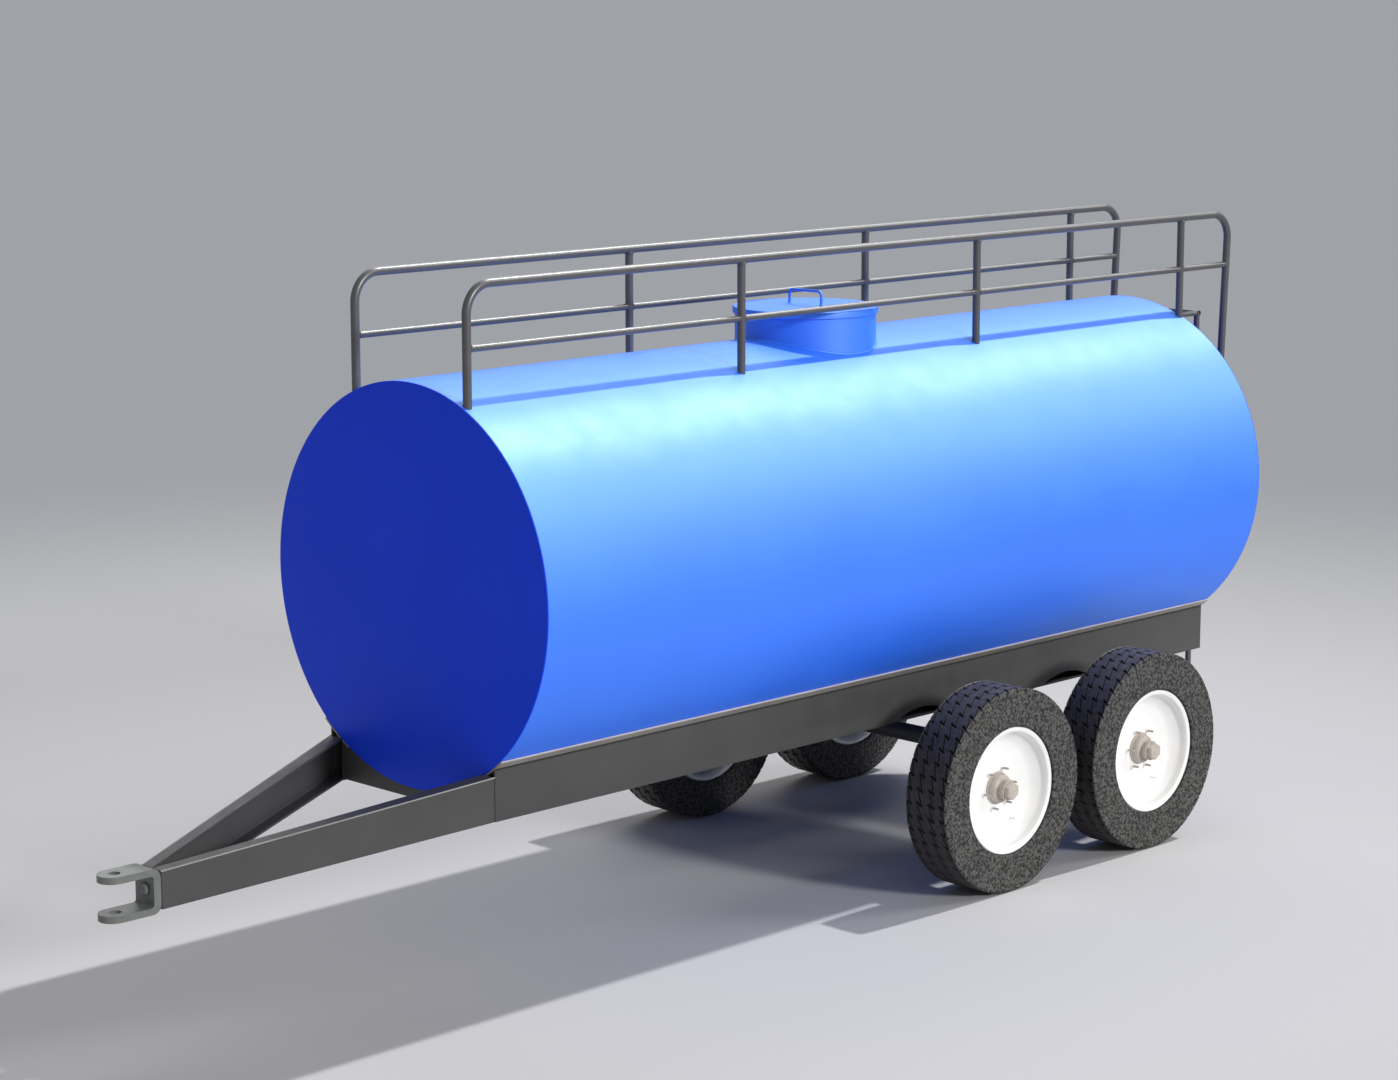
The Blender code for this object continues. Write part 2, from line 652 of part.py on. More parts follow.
def build_clevis(datum, steel):
    """U-shaped forging that opens forward, with a vertical pin hole and its fixing bolt."""
    back = BEAM_FRONT_X
    tip = CLEVIS_TIP_X
    low_c = CLEVIS_BOTTOM_Z + CLEVIS_CORNER
    high_c = CLEVIS_TOP_Z - CLEVIS_CORNER
    throat = back + CLEVIS_BACK
    ear_low = CLEVIS_BOTTOM_Z + CLEVIS_EAR
    ear_high = CLEVIS_TOP_Z - CLEVIS_EAR
    inner = CLEVIS_INNER_CORNER
    outline = [(tip, CLEVIS_BOTTOM_Z), (tip, ear_low)]
    outline += arc((throat + inner, ear_low + inner), inner, -math.pi / 2, -math.pi, CORNER_STEPS)
    outline += arc((throat + inner, ear_high - inner), inner, math.pi, math.pi / 2, CORNER_STEPS)
    outline += [(tip, ear_high), (tip, CLEVIS_TOP_Z)]
    outline += arc((back + CLEVIS_CORNER, high_c), CLEVIS_CORNER, math.pi / 2, math.pi, CORNER_STEPS)
    outline += arc((back + CLEVIS_CORNER, low_c), CLEVIS_CORNER, math.pi, 1.5 * math.pi, CORNER_STEPS)
    half = CLEVIS_WIDTH / 2
    clevis = finish("hitch_clevis", prism(outline, "y", -half, half), steel, datum)
    plan = [(back - CLEVIS_BACK, -half), (tip - half, -half)]
    plan += arc((tip - half, 0.0), half, -math.pi / 2, math.pi / 2, TIP_STEPS)[1:-1]
    plan += [(tip - half, half), (back - CLEVIS_BACK, half)]
    tongue = guide("clevis_plan", prism(plan, "z", CLEVIS_BOTTOM_Z - CLEVIS_EAR,
                                        CLEVIS_TOP_Z + CLEVIS_EAR), datum)
    combine(clevis, tongue, "INTERSECT")
    holes = bmesh.new()
    cylinder(holes, (PIN_X, 0, CLEVIS_BOTTOM_Z - CLEVIS_EAR), (PIN_X, 0, CLEVIS_TOP_Z + CLEVIS_EAR),
             PIN_HOLE_RADIUS, 2 * TIP_STEPS)
    combine(clevis, guide("clevis_pin_hole", holes, datum), "DIFFERENCE")
    middle = (CLEVIS_TOP_Z + CLEVIS_BOTTOM_Z) / 2
    bore = bmesh.new()
    cylinder(bore, (back - CLEVIS_BACK, 0, middle), (throat + inner, 0, middle),
             BOLT_SHANK + BOLT_CLEARANCE, TIP_STEPS)
    combine(clevis, guide("clevis_bolt_hole", bore, datum), "DIFFERENCE")
    head = throat + SEAT
    seat = back - NOSE_PLATE_THICKNESS - SEAT
    end = head + BOLT_HEAD_LENGTH
    bolt = [(0.0, end), (BOLT_HEAD_RADIUS - BOLT_HEAD_CHAMFER, end),
            (BOLT_HEAD_RADIUS, end - BOLT_HEAD_CHAMFER), (BOLT_HEAD_RADIUS, head),
            (BOLT_SHANK, head), (BOLT_SHANK, seat), (BOLT_HEAD_RADIUS, seat),
            (BOLT_HEAD_RADIUS, seat - BOLT_NUT_LENGTH), (0.0, seat - BOLT_NUT_LENGTH)]
    rearwards = [(radius, -x) for radius, x in bolt]
    finish("hitch_bolt", revolve_rearwards(rearwards, TIP_STEPS, (0, 0, middle)), steel, datum)


# Running gear

def disc_outline(x, radius, steps):
    """Closed circle of points round (x, axle height)."""
    return arc((x, AXLE_Z), radius, 0.0, 2 * math.pi * (steps - 1) / steps, steps - 1)


def round_cutter(name, x, radius, steps, low, high, datum):
    """Guide for a round hole along y at axle height."""
    return guide(name, prism(disc_outline(x, radius, steps), "y", low, high), datum)


def build_bogie(datum, grey):
    """Cross shaft, its two hangers, the walking beams and the four stub axles."""
    cap = CROSS_SHAFT_CAP_RADIUS
    inner_cap = ROCKER_OUTER_Y + SEAT
    end = ROCKER_OUTER_Y + CROSS_SHAFT_CAP
    profile = ((0.0, -end), (cap, -end), (cap, -inner_cap), (CROSS_SHAFT_RADIUS, -inner_cap),
               (CROSS_SHAFT_RADIUS, inner_cap), (cap, inner_cap), (cap, end), (0.0, end))
    finish("bogie_cross_shaft", turn(profile, SHAFT_STEPS, (BOGIE_X, 0, AXLE_Z)), grey, datum)
    for side_name, side in SIDES:
        build_hanger(side_name, side, datum, grey)
        build_walking_beam(side_name, side, datum, grey)
        for axle_name, axle_x in AXLES:
            build_stub(axle_name + "_" + side_name, axle_x, side, datum, grey)


def build_hanger(side_name, side, datum, grey):
    """Bracket from a rail's underside down to the cross shaft."""
    near = side * (RAIL_INNER_Y + HANGER_INSET)
    far = side * (RAIL_FACE_Y - HANGER_INSET)
    past = side * BACKPLATE_THICKNESS
    top = RAIL_BOTTOM_Z - SEAT
    drop = top - AXLE_Z
    lean = math.atan2(drop, HANGER_HALF_TOP)
    touch = math.pi - lean - math.acos(HANGER_BOSS_RADIUS / math.hypot(drop, HANGER_HALF_TOP))
    outline = [(BOGIE_X + HANGER_HALF_TOP, top), (BOGIE_X - HANGER_HALF_TOP, top)]
    outline += arc((BOGIE_X, AXLE_Z), HANGER_BOSS_RADIUS, math.pi + touch, 2 * math.pi - touch,
                   HANGER_STEPS)
    hanger = finish(side_name + "_bogie_hanger", prism(outline, "y", near, far), grey, datum)
    hole = round_cutter(side_name + "_hanger_hole", BOGIE_X, CROSS_SHAFT_RADIUS + SEAT,
                        SHAFT_STEPS, near - past, far + past, datum)
    combine(hanger, hole, "DIFFERENCE")


def build_walking_beam(side_name, side, datum, grey):
    """Beam with a boss at its middle and at each end, deeper in the middle."""
    reach = AXLES[0][1] - BOGIE_X
    down = -math.pi / 2
    up = math.pi / 2
    tilt = math.asin((ROCKER_CENTRE_RADIUS - ROCKER_END_RADIUS) / reach)
    front = arc((AXLES[0][1], AXLE_Z), ROCKER_END_RADIUS, down + tilt, up - tilt, ROCKER_STEPS)
    rear = arc((AXLES[1][1], AXLE_Z), ROCKER_END_RADIUS, up + tilt, up + math.pi - tilt, ROCKER_STEPS)
    crown = arc((BOGIE_X, AXLE_Z), ROCKER_CENTRE_RADIUS, up - tilt, up + tilt, 2)
    base = arc((BOGIE_X, AXLE_Z), ROCKER_CENTRE_RADIUS, up + math.pi - tilt, up + math.pi + tilt, 2)
    low = side * ROCKER_INNER_Y
    high = side * ROCKER_OUTER_Y
    beam = finish(side_name + "_walking_beam",
                  prism(front + crown + rear + base, "y", low, high), grey, datum)
    past = side * BACKPLATE_THICKNESS
    holes = (("pivot", BOGIE_X, CROSS_SHAFT_RADIUS, SHAFT_STEPS),
             ("front", AXLES[0][1], STUB_RADIUS, STUB_STEPS), ("rear", AXLES[1][1], STUB_RADIUS, STUB_STEPS))
    for name, x, radius, steps in holes:
        cutter = round_cutter(side_name + "_beam_" + name, x, radius + SEAT, steps,
                              low - past, high + past, datum)
        combine(beam, cutter, "DIFFERENCE")


def build_stub(label, axle_x, side, datum, grey):
    """Stub axle held in a walking beam's end, with the brake's fixed backplate."""
    shoulder = ROCKER_OUTER_Y + SEAT
    plate_y = DRUM_INNER_Y + DRUM_WALL
    plate = (DRUM_RADIUS - DRUM_WALL) * math.cos(math.pi / DRUM_STEPS) - RUNNING_GAP
    profile = ((0.0, ROCKER_INNER_Y), (STUB_RADIUS, ROCKER_INNER_Y), (STUB_RADIUS, shoulder),
               (STUB_SHOULDER_RADIUS, shoulder), (STUB_SHOULDER_RADIUS, plate_y), (plate, plate_y),
               (plate, plate_y + BACKPLATE_THICKNESS), (STUB_RADIUS, plate_y + BACKPLATE_THICKNESS),
               (STUB_RADIUS, STUB_END_Y), (0.0, STUB_END_Y))
    finish(label + "_stub_axle", turn(profile, STUB_STEPS, (axle_x, 0, AXLE_Z), side), grey, datum)


def tyre_profile():
    """Half of the tyre's section from the outer bead to the crown, mirrored to the inner side."""
    half = TYRE_WIDTH / 2
    bore = (RIM_SEAT_RADIUS + SEAT) / math.cos(math.pi / TYRE_STEPS)
    bead = RIM_FLANGE_RADIUS + TYRE_BEAD_GAP
    side = [(bore, RIM_SEAT_HALF - SEAT), (bead, RIM_SEAT_HALF - SEAT), (bead + TYRE_BEAD_GAP, half),
            (TYRE_RADIUS - TYRE_SHOULDER, half), (TYRE_RADIUS, half - TYRE_SHOULDER)]
    return side + [(radius, -along) for radius, along in reversed(side)]


def rim_profile():
    """Rim with two flanges and a dished disc, as one closed section."""
    seat = RIM_SEAT_HALF
    well = RIM_SEAT_RADIUS - RIM_WALL
    edge = seat + RIM_FLANGE
    hole = (HUB_BARREL_RADIUS + SEAT) / math.cos(math.pi / RIM_STEPS)
    outer = DISC_OFFSET
    inner = DISC_OFFSET - DISC_THICKNESS
    return [
        (RIM_SEAT_RADIUS, seat), (RIM_FLANGE_RADIUS, seat), (RIM_FLANGE_RADIUS, edge),
        (well + RIM_LIP, edge), (well, outer + DISC_FRONT_RISE), (well - DISC_INSET, outer),
        (hole, outer), (hole, inner), (well - DISC_INSET, inner), (well, inner + DISC_BACK_RISE),
        (well, -seat),
        (RIM_FLANGE_RADIUS, -edge), (RIM_FLANGE_RADIUS, -seat), (RIM_SEAT_RADIUS, -seat),
    ]


def hub_profile():
    """Hub from its bore to the hexagonal nut, as (radius, y) in the trailer's own y."""
    face = WHEEL_CENTRE_Y + DISC_OFFSET - DISC_THICKNESS - SEAT
    bore = (STUB_RADIUS + SEAT) / math.cos(math.pi / HUB_STEPS)
    bore_end = STUB_END_Y + RUNNING_GAP
    rear = DRUM_INNER_Y + HUB_SLEEVE_INSET
    nut = HUB_NOSE_Y - NUT_LENGTH
    points = [
        (bore, rear), (HUB_SLEEVE_RADIUS, rear), (HUB_SLEEVE_RADIUS, face - HUB_FLANGE_THICKNESS),
        (HUB_FLANGE_RADIUS, face - HUB_FLANGE_THICKNESS), (HUB_FLANGE_RADIUS, face),
        (HUB_BARREL_RADIUS, face), (HUB_BARREL_RADIUS, face + HUB_BARREL_LENGTH),
        (HUB_COLLAR_RADIUS, nut - HUB_COLLAR_LENGTH), (HUB_COLLAR_RADIUS, nut), (NUT_FLAT, nut),
        (NUT_FLAT, HUB_NOSE_Y), (0.0, HUB_NOSE_Y), (0.0, bore_end), (bore, bore_end),
    ]
    return points, (9, 10)


def drum_profile():
    """Brake drum: a cup open on its inner side, clamped behind the hub's flange."""
    face = WHEEL_CENTRE_Y + DISC_OFFSET - DISC_THICKNESS - HUB_FLANGE_THICKNESS - 2 * SEAT
    hole = (HUB_SLEEVE_RADIUS + SEAT) / math.cos(math.pi / DRUM_STEPS)
    wall = DRUM_RADIUS - DRUM_WALL
    return [(DRUM_RADIUS, DRUM_INNER_Y), (DRUM_RADIUS, face - DRUM_SHOULDER),
            (HUB_FLANGE_RADIUS, face), (hole, face), (hole, face - DRUM_WALL),
            (wall, face - DRUM_SHOULDER - RUNNING_GAP), (wall, DRUM_INNER_Y)]


def build_wheels(datum, rubber, white, cast, dark):
    """Four wheels, each of a tyre, a rim, a hub and a brake drum about its own axis."""
    hub, hexagon = hub_profile()
    for axle_name, axle_x in AXLES:
        for side_name, side in SIDES:
            label = axle_name + "_" + side_name
            pivot = empty(label + "_wheel_axis", (axle_x, side * WHEEL_CENTRE_Y, AXLE_Z), datum)
            centred_hub = [(radius, along - WHEEL_CENTRE_Y) for radius, along in hub]
            centred_drum = [(radius, along - WHEEL_CENTRE_Y) for radius, along in drum_profile()]
            finish(label + "_tyre", turn(tyre_profile(), TYRE_STEPS, side=side, phase=0.5),
                   rubber, pivot)
            finish(label + "_rim", turn(rim_profile(), RIM_STEPS, side=side), white, pivot)
            finish(label + "_hub", turn(centred_hub, HUB_STEPS, side=side, hexagonal=hexagon,
                                        phase=0.5), cast, pivot)
            finish(label + "_brake_drum", turn(centred_drum, DRUM_STEPS, side=side), dark, pivot)


# Handrails and ladder

def build_handrails(datum, tube_paint, envelope):
    """Each handrail: a bent top rail with its two legs, posts on the tank and a middle rail."""
    base = crown_z(HANDRAIL_Y) - OVERRUN
    slope = (LEG_TOP_X - LEG_FOOT_X) / (HANDRAIL_TOP_Z - LEG_FOOT_Z)
    mid_rear_x = LEG_FOOT_X + slope * (HANDRAIL_MID_Z - LEG_FOOT_Z)
    foot_x = -TANK_LENGTH - SEAT
    for side_name, side in SIDES:
        y = side * HANDRAIL_Y
        path = rounded(((POST_FRONT_X, y, base), (POST_FRONT_X, y, HANDRAIL_TOP_Z),
                        (LEG_TOP_X, y, HANDRAIL_TOP_Z), (LEG_FOOT_X, y, LEG_FOOT_Z),
                        (foot_x, y, LEG_FOOT_Z)), HANDRAIL_BEND, BEND_STEPS)
        main = bmesh.new()
        add_tube(main, path, RAIL_TUBE, TUBE_SIDES)
        rail = finish(side_name + "_handrail", main, tube_paint, datum)
        posts = bmesh.new()
        for i in range(1, POST_COUNT):
            x = POST_FRONT_X - POST_PITCH * i
            cylinder(posts, (x, y, base), (x, y, HANDRAIL_TOP_Z), POST_TUBE, TUBE_SIDES)
        combine(rail, guide(side_name + "_posts", posts, datum), "UNION")
        middle = bmesh.new()
        cylinder(middle, (POST_FRONT_X, y, HANDRAIL_MID_Z), (mid_rear_x, y, HANDRAIL_MID_Z),
                 MID_TUBE, TUBE_SIDES)
        combine(rail, guide(side_name + "_middle_rail", middle, datum), "UNION")
        combine(rail, envelope, "DIFFERENCE")


def build_ladder(datum, tube_paint):
    """Two stiles, rungs between them and stays to the tank's rear head."""
    face = -TANK_LENGTH - SEAT
    stiles = bmesh.new()
    for _, side in SIDES:
        y = side * LADDER_Y
        cylinder(stiles, (LADDER_X, y, LADDER_FOOT_Z), (LADDER_X, y, LADDER_TOP_Z),
                 LADDER_TUBE, TUBE_SIDES)
    ladder = finish("rear_ladder", stiles, tube_paint, datum)
    rungs = bmesh.new()
    pitch = (LADDER_TOP_Z - LADDER_FOOT_Z - 2 * LADDER_TUBE) / (RUNG_COUNT - 1)
    for i in range(RUNG_COUNT):
        z = LADDER_TOP_Z - pitch * i
        reach = LADDER_Y + (RUNG_OVERHANG if i == 0 else 0.0)
        cylinder(rungs, (LADDER_X, -reach, z), (LADDER_X, reach, z), RUNG_TUBE, TUBE_SIDES)
    combine(ladder, guide("ladder_rungs", rungs, datum), "UNION")
    stays = bmesh.new()
    for _, side in SIDES:
        y = side * LADDER_Y
        for z in (LADDER_TOP_Z, LADDER_STAY_Z):
            cylinder(stays, (LADDER_X, y, z), (face, y, z), STAY_TUBE, TUBE_SIDES)
    combine(ladder, guide("ladder_stays", stays, datum), "UNION")
    bores = bmesh.new()
    reach = LADDER_Y + RUNG_OVERHANG
    for _, side in SIDES:
        cylinder(bores, (LADDER_X, side * (reach - RUNG_BORE_DEPTH), LADDER_TOP_Z),
                 (LADDER_X, side * (reach + RUNG_BORE_DEPTH), LADDER_TOP_Z), RUNG_BORE, TUBE_SIDES)
    combine(ladder, guide("rung_bores", bores, datum), "DIFFERENCE")


def tank_envelope(datum):
    """The tank's outside with the seating gap, used to shape what stands on it."""
    step = 2 * math.pi / TANK_SIDES
    ring = [tank_circle(i * step, ENVELOPE_RADIUS) for i in range(TANK_SIDES)]
    return guide("tank_envelope", prism(ring, "x", -TANK_LENGTH, 0.0), datum)


def centre_lengthwise(datum):
    """Move the datum so that the origin lies midway between the trailer's two ends."""
    bpy.context.view_layer.update()
    graph = bpy.context.evaluated_depsgraph_get()
    ends = []
    for item in bpy.context.scene.objects:
        if item.type == "MESH" and not item.hide_render:
            corners = item.evaluated_get(graph).bound_box
            ends += [(item.matrix_world @ Vector(corner)).x for corner in corners]
    datum.location.x -= (min(ends) + max(ends)) / 2
    bpy.context.view_layer.update()


def main():
    clear_scene()
    blue = material("tank_paint", (0.02, 0.11, 0.80), 0.0, 0.30)
    grey = material("chassis_paint", (0.075, 0.075, 0.075), 0.0, 0.45)
    tube_paint = material("handrail_paint", (0.10, 0.10, 0.11), 0.3, 0.35)
    steel = material("clevis_steel", (0.21, 0.22, 0.21), 0.4, 0.45)
    rubber = material("tyre_rubber", (0.03, 0.03, 0.032), 0.0, 0.85)
    white = material("wheel_paint", (0.85, 0.85, 0.84), 0.0, 0.35)
    cast = material("hub_paint", (0.55, 0.49, 0.43), 0.0, 0.45)
    dark = material("brake_drum_iron", (0.05, 0.05, 0.05), 0.3, 0.60)
    datum = empty("trailer_datum", (0, 0, 0))
    envelope = tank_envelope(datum)
    build_tank(datum, blue)
    build_neck(datum, blue, envelope)
    build_lid(datum, blue)
    build_outlet(datum, blue)
    build_rails(datum, grey)
    build_saddles(datum, grey)
    build_drawbar(datum, grey)
    build_clevis(datum, steel)
    build_bogie(datum, grey)
    build_wheels(datum, rubber, white, cast, dark)
    build_handrails(datum, tube_paint, envelope)
    build_ladder(datum, tube_paint)
    centre_lengthwise(datum)


main()
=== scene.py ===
"""Looks for the tanker trailer: smooth painted tank, welded chassis, treaded tyres and studio light.

Metres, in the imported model's frame: +X forward to the hitch, +Y left, +Z up from the ground.
"""
import json
import math

import bmesh
import bpy
from mathutils import Matrix, Vector

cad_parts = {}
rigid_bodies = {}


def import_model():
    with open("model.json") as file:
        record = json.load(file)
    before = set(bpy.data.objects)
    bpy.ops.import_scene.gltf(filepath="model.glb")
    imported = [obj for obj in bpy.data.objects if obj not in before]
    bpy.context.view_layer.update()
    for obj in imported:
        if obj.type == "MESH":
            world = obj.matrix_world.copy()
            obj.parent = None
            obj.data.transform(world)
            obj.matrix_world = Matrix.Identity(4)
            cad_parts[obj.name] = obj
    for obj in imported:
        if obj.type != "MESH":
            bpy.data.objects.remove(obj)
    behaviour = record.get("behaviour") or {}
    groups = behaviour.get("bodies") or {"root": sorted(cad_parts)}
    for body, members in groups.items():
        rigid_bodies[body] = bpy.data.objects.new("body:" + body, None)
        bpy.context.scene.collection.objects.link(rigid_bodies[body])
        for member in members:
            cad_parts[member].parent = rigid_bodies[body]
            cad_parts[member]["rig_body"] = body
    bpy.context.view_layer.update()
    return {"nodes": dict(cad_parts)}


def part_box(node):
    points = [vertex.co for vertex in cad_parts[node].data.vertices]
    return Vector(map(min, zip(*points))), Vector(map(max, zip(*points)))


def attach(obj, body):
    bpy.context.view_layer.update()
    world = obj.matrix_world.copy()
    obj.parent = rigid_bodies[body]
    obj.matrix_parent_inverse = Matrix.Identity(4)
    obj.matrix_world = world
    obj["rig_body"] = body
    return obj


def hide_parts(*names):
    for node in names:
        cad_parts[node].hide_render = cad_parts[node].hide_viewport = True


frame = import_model()
nodes = frame["nodes"]

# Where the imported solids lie
tank_low, tank_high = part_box("tank_shell")
FRONT_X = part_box("tank_front_head")[1].x
REAR_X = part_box("tank_rear_head")[0].x
TANK_RADIUS = (tank_high.y - tank_low.y) / 2
TANK_AXIS_Z = (tank_high.z + tank_low.z) / 2
TANK_WALL = 0.005
HEAD_THICKNESS = 0.006
SIDES = (("left", 1), ("right", -1))
AXLES = ("front", "rear")

# Gap between two surfaces that would otherwise lie in one plane
SEAM = 0.0003

# Camera: its place from the tank's front face and the tank's axis, and its direction
CAMERA_FROM_TANK = (8.973, 10.737, 2.694)
CAMERA_YAW = -0.7868
CAMERA_PITCH = -0.1767
CAMERA_ROLL = -0.0014
LENS_MM = 83.97
SENSOR_MM = 36.0

# Lamps: name, direction towards the lamp, level, angular size in degrees, colour.
# A level of 1 lights a surface that faces the lamp at the colour it is written in.
LAMPS = (
    ("key", (-0.62, 0.05, 0.78), 0.86, 1.6, (1.0, 1.0, 1.0)),
    ("back", (-0.52, -0.55, 0.65), 0.25, 35.0, (1.0, 1.0, 1.0)),
    ("side", (-0.10, 0.915, 0.355), 0.72, 9.0, (1.0, 0.99, 0.98)),
    ("sheen", (-0.697, 0.458, 0.553), 0.26, 20.0, (1.0, 1.0, 1.0)),
    ("front", (0.80, -0.20, 0.55), 0.03, 60.0, (0.95, 0.97, 1.0)),
)

# The world's light on the object, the tone of the backdrop, and the floor's tones near and far, which paint
# a pool of light round the object
AMBIENT = 0.28
AMBIENT_COLOUR = (1.0, 0.985, 0.965)
BACKDROP = (0.347, 0.362, 0.386)
FLOOR_PAINTED_POOL_NEAR = (0.460, 0.454, 0.466)
FLOOR_PAINTED_POOL_FAR = (0.2264, 0.2374, 0.2542)

# Distances from the middle at which the floor's painted pool of light starts and ends its fade
FADE_START = 2.0
FADE_END = 14.0
FLOOR_RADIUS = 400.0

# Facets round the turned forms and the bars
TANK_SEGMENTS = 192
MANHOLE_SEGMENTS = 144
RIM_SEGMENTS = 144
LATHE_SEGMENTS = 96
NUT_SEGMENTS = 24
STUD_SEGMENTS = 16
THICK_BAR_SIDES = 24
THIN_BAR_SIDES = 20
BEAD_SIDES = 8

# Tank trim and manhole
HEAD_EDGE_RADIUS = 0.004
NECK_WALL = 0.008
NECK_WELD_RADIUS = 0.006
LID_WALL = 0.005
LID_THICKNESS = 0.012
LID_CROWN = 0.004
LID_EDGE_RADIUS = 0.006
HANDLE_BEND = 0.022

# Outlet
OUTLET_PIPE = 0.057
OUTLET_BORE = 0.051
OUTLET_FLANGE = 0.016
OUTLET_BOLTS = 8
OUTLET_BOLT_CIRCLE = 0.080
OUTLET_WELD_RADIUS = 0.0045

# Tank pads: their thickness, and the bead along their upper edge, painted pale as a highlight
PAD_THICKNESS = 0.009
PAD_EDGE_LEAD = 0.004
PAD_EDGE_REACH = 0.0045
PAD_EDGE_RADIUS = 0.0042

# The rippled bead along each rail's top, painted near-black as the pad's shadow; the drawbar's rolled
# edges, painted pale as a highlight; and its welds
SHADOW_LINE_RADIUS = 0.0035
ROLLED_EDGE_RADIUS = 0.0036
ROLLED_EDGE_INSET = 0.0022
DRAWBAR_WELD_RADIUS = 0.0042

# Tyre tread: zigzag grooves with a slanting notch at each swing. Shares are parts of one pitch.
TREAD_PITCHES = 46
TREAD_GROOVES = (-0.103, -0.035, 0.035, 0.103)
GROOVE_HALF = 0.0034
GROOVE_WALL = 0.0010
GROOVE_DEPTH = 0.009
ZIGZAG = 0.0105
SWING_SHARE = 0.18
NOTCH_REACH = 0.018
NOTCH_LEAD = 0.16
NOTCH_DEPTH = 0.007
NOTCH_SHARES = (-0.066, -0.046, 0.046, 0.066)
BLOCK_SHARES = (0.25, 0.5, 0.75)
CROWN_DROP = 0.004
SHOULDER = 0.0055

# Rings on the flat sidewall, as parts of the tyre's radius
SIDEWALL_SHARES = (0.74, 0.85, 0.94)

# Rim and tyre bead
BEAD_RADIUS = 0.292
RIM_SEAT = 0.2895
RIM_WELL = 0.280
RIM_HOLE = 0.0765
BEAD_INSET = 0.008

# The dish between the rim's well and its flat disc
DISH_WIDTH = 0.060
DISH_HEIGHT = 0.044
DISH_POWER = 1.8
DISH_STEPS = (0.0, 0.08, 0.16, 0.26, 0.38, 0.5, 0.65, 0.8, 1.0)

# Hub and studs
STUD_CIRCLE = 0.100
STUD_RADIUS = 0.0055
STUD_LENGTH = 0.044
STUD_COUNT = 6
STUD_PHASES = {"front": -9.0, "rear": 5.0}
DISC_FACE = 0.022
DISC_THICKNESS = 0.010
VALVE_CIRCLE = 0.198
VALVE_ANGLE = 238.0

# Handrails: distances back from the tank's front face, and heights over the tank's axis
RAIL_TUBE = 0.020
RAIL_MIDDLE_TUBE = 0.016
RAIL_Y = 0.370
RAIL_FRONT = 0.035
RAIL_POSTS = 4
RAIL_POST_PITCH = 1.665
RAIL_POST_SHARE = 0.96
RAIL_POST_SINK = 0.008
RAIL_MIDDLE_Z = 1.068
RAIL_LEG_TOP = 5.4510
RAIL_LEG_FOOT = 5.396
RAIL_LEG_FOOT_Z = 0.200
RAIL_BEND = 0.130
RAIL_RING_REACH = 0.0185
RAIL_RING_HALF = 0.004

# Ladder, measured in the same way
LADDER_BACK = 5.250
LADDER_TUBE = 0.016
LADDER_STILE_Y = 0.325
LADDER_TOP_Z = 0.816
LADDER_STAY_Z = -0.450
LADDER_STAY_SHARE = 0.9
LADDER_RUNGS = 7
LADDER_RUNG_SHARE = 0.94
LADDER_RUNG_BORE = 0.011
LADDER_RUNG_OVERHANG = 0.016
LADDER_BORE_DEPTH = 0.030


# Node materials

def new_material(name):
    """An empty node material with its shader; returns the material, its tree and its shader."""
    made = bpy.data.materials.new(name)
    made.use_nodes = True
    tree = made.node_tree
    return made, tree, tree.nodes["Principled BSDF"]


def add_node(tree, kind, inputs=(), **settings):
    """Add a node, set its properties and its named inputs, and return it."""
    node = tree.nodes.new(kind)
    for key, value in settings.items():
        setattr(node, key, value)
    for key, value in dict(inputs).items():
        node.inputs[key].default_value = value
    return node


def noise(tree, scale, detail=3.0, roughness=0.55):
    """Noise in object coordinates, in cells per metre."""
    place = add_node(tree, "ShaderNodeTexCoord")
    made = add_node(tree, "ShaderNodeTexNoise",
                    {"Scale": scale, "Detail": detail, "Roughness": roughness})
    tree.links.new(place.outputs["Object"], made.inputs["Vector"])
    return made.outputs["Fac"]


def ramp(tree, source, low, high, start=0.35, end=0.65):
    """Colour ramp between two colours or grey values."""
    made = add_node(tree, "ShaderNodeValToRGB")
    made.color_ramp.elements[0].position = start
    made.color_ramp.elements[1].position = end
    made.color_ramp.elements[0].color = (*low, 1.0)
    made.color_ramp.elements[1].color = (*high, 1.0)
    tree.links.new(source, made.inputs["Fac"])
    return made.outputs["Color"]


def grey(value):
    """A grey of the given value."""
    return (value, value, value)


def bump(tree, shader, source, distance, strength=1.0):
    """Bump from a height source."""
    made = add_node(tree, "ShaderNodeBump", {"Distance": distance, "Strength": strength})
    tree.links.new(source, made.inputs["Height"])
    tree.links.new(made.outputs["Normal"], shader.inputs["Normal"])


def painted(name, dark, light, rough, rough_range=0.08, patch=1.3, peel=260.0, peel_depth=0.0004,
            metallic=0.0, specular=0.5, tint=(1.0, 1.0, 1.0), ior=1.5):
    """Sprayed paint: slow colour drift, uneven gloss and fine orange peel."""
    made, tree, shader = new_material(name)
    slow = noise(tree, patch, 4.0)
    fine = noise(tree, peel, 2.0)
    tree.links.new(ramp(tree, slow, dark, light), shader.inputs["Base Color"])
    gloss = ramp(tree, noise(tree, patch * 4, 5.0), grey(rough - rough_range), grey(rough + rough_range))
    tree.links.new(gloss, shader.inputs["Roughness"])
    bump(tree, shader, fine, peel_depth, 0.25)
    shader.inputs["Metallic"].default_value = metallic
    shader.inputs["Specular IOR Level"].default_value = specular
    shader.inputs["Specular Tint"].default_value = (*tint, 1.0)
    shader.inputs["IOR"].default_value = ior
    return made


def rubber(name, dark, light, cell, depth, rough=0.85):
    """Rubber with a pebbled relief of the given cell count per metre; its colour follows the relief, darker
    in the hollows as painted shade.
    """
    made, tree, shader = new_material(name)
    pebbles = noise(tree, cell, 2.0, 0.5)
    # Colour from the same noise as the bump: darker where the relief is low, painted shade in its hollows
    tree.links.new(ramp(tree, pebbles, dark, light, 0.38, 0.62), shader.inputs["Base Color"])
    shader.inputs["Roughness"].default_value = rough
    shader.inputs["Specular IOR Level"].default_value = 0.35
    bump(tree, shader, pebbles, depth, 1.0)
    return made


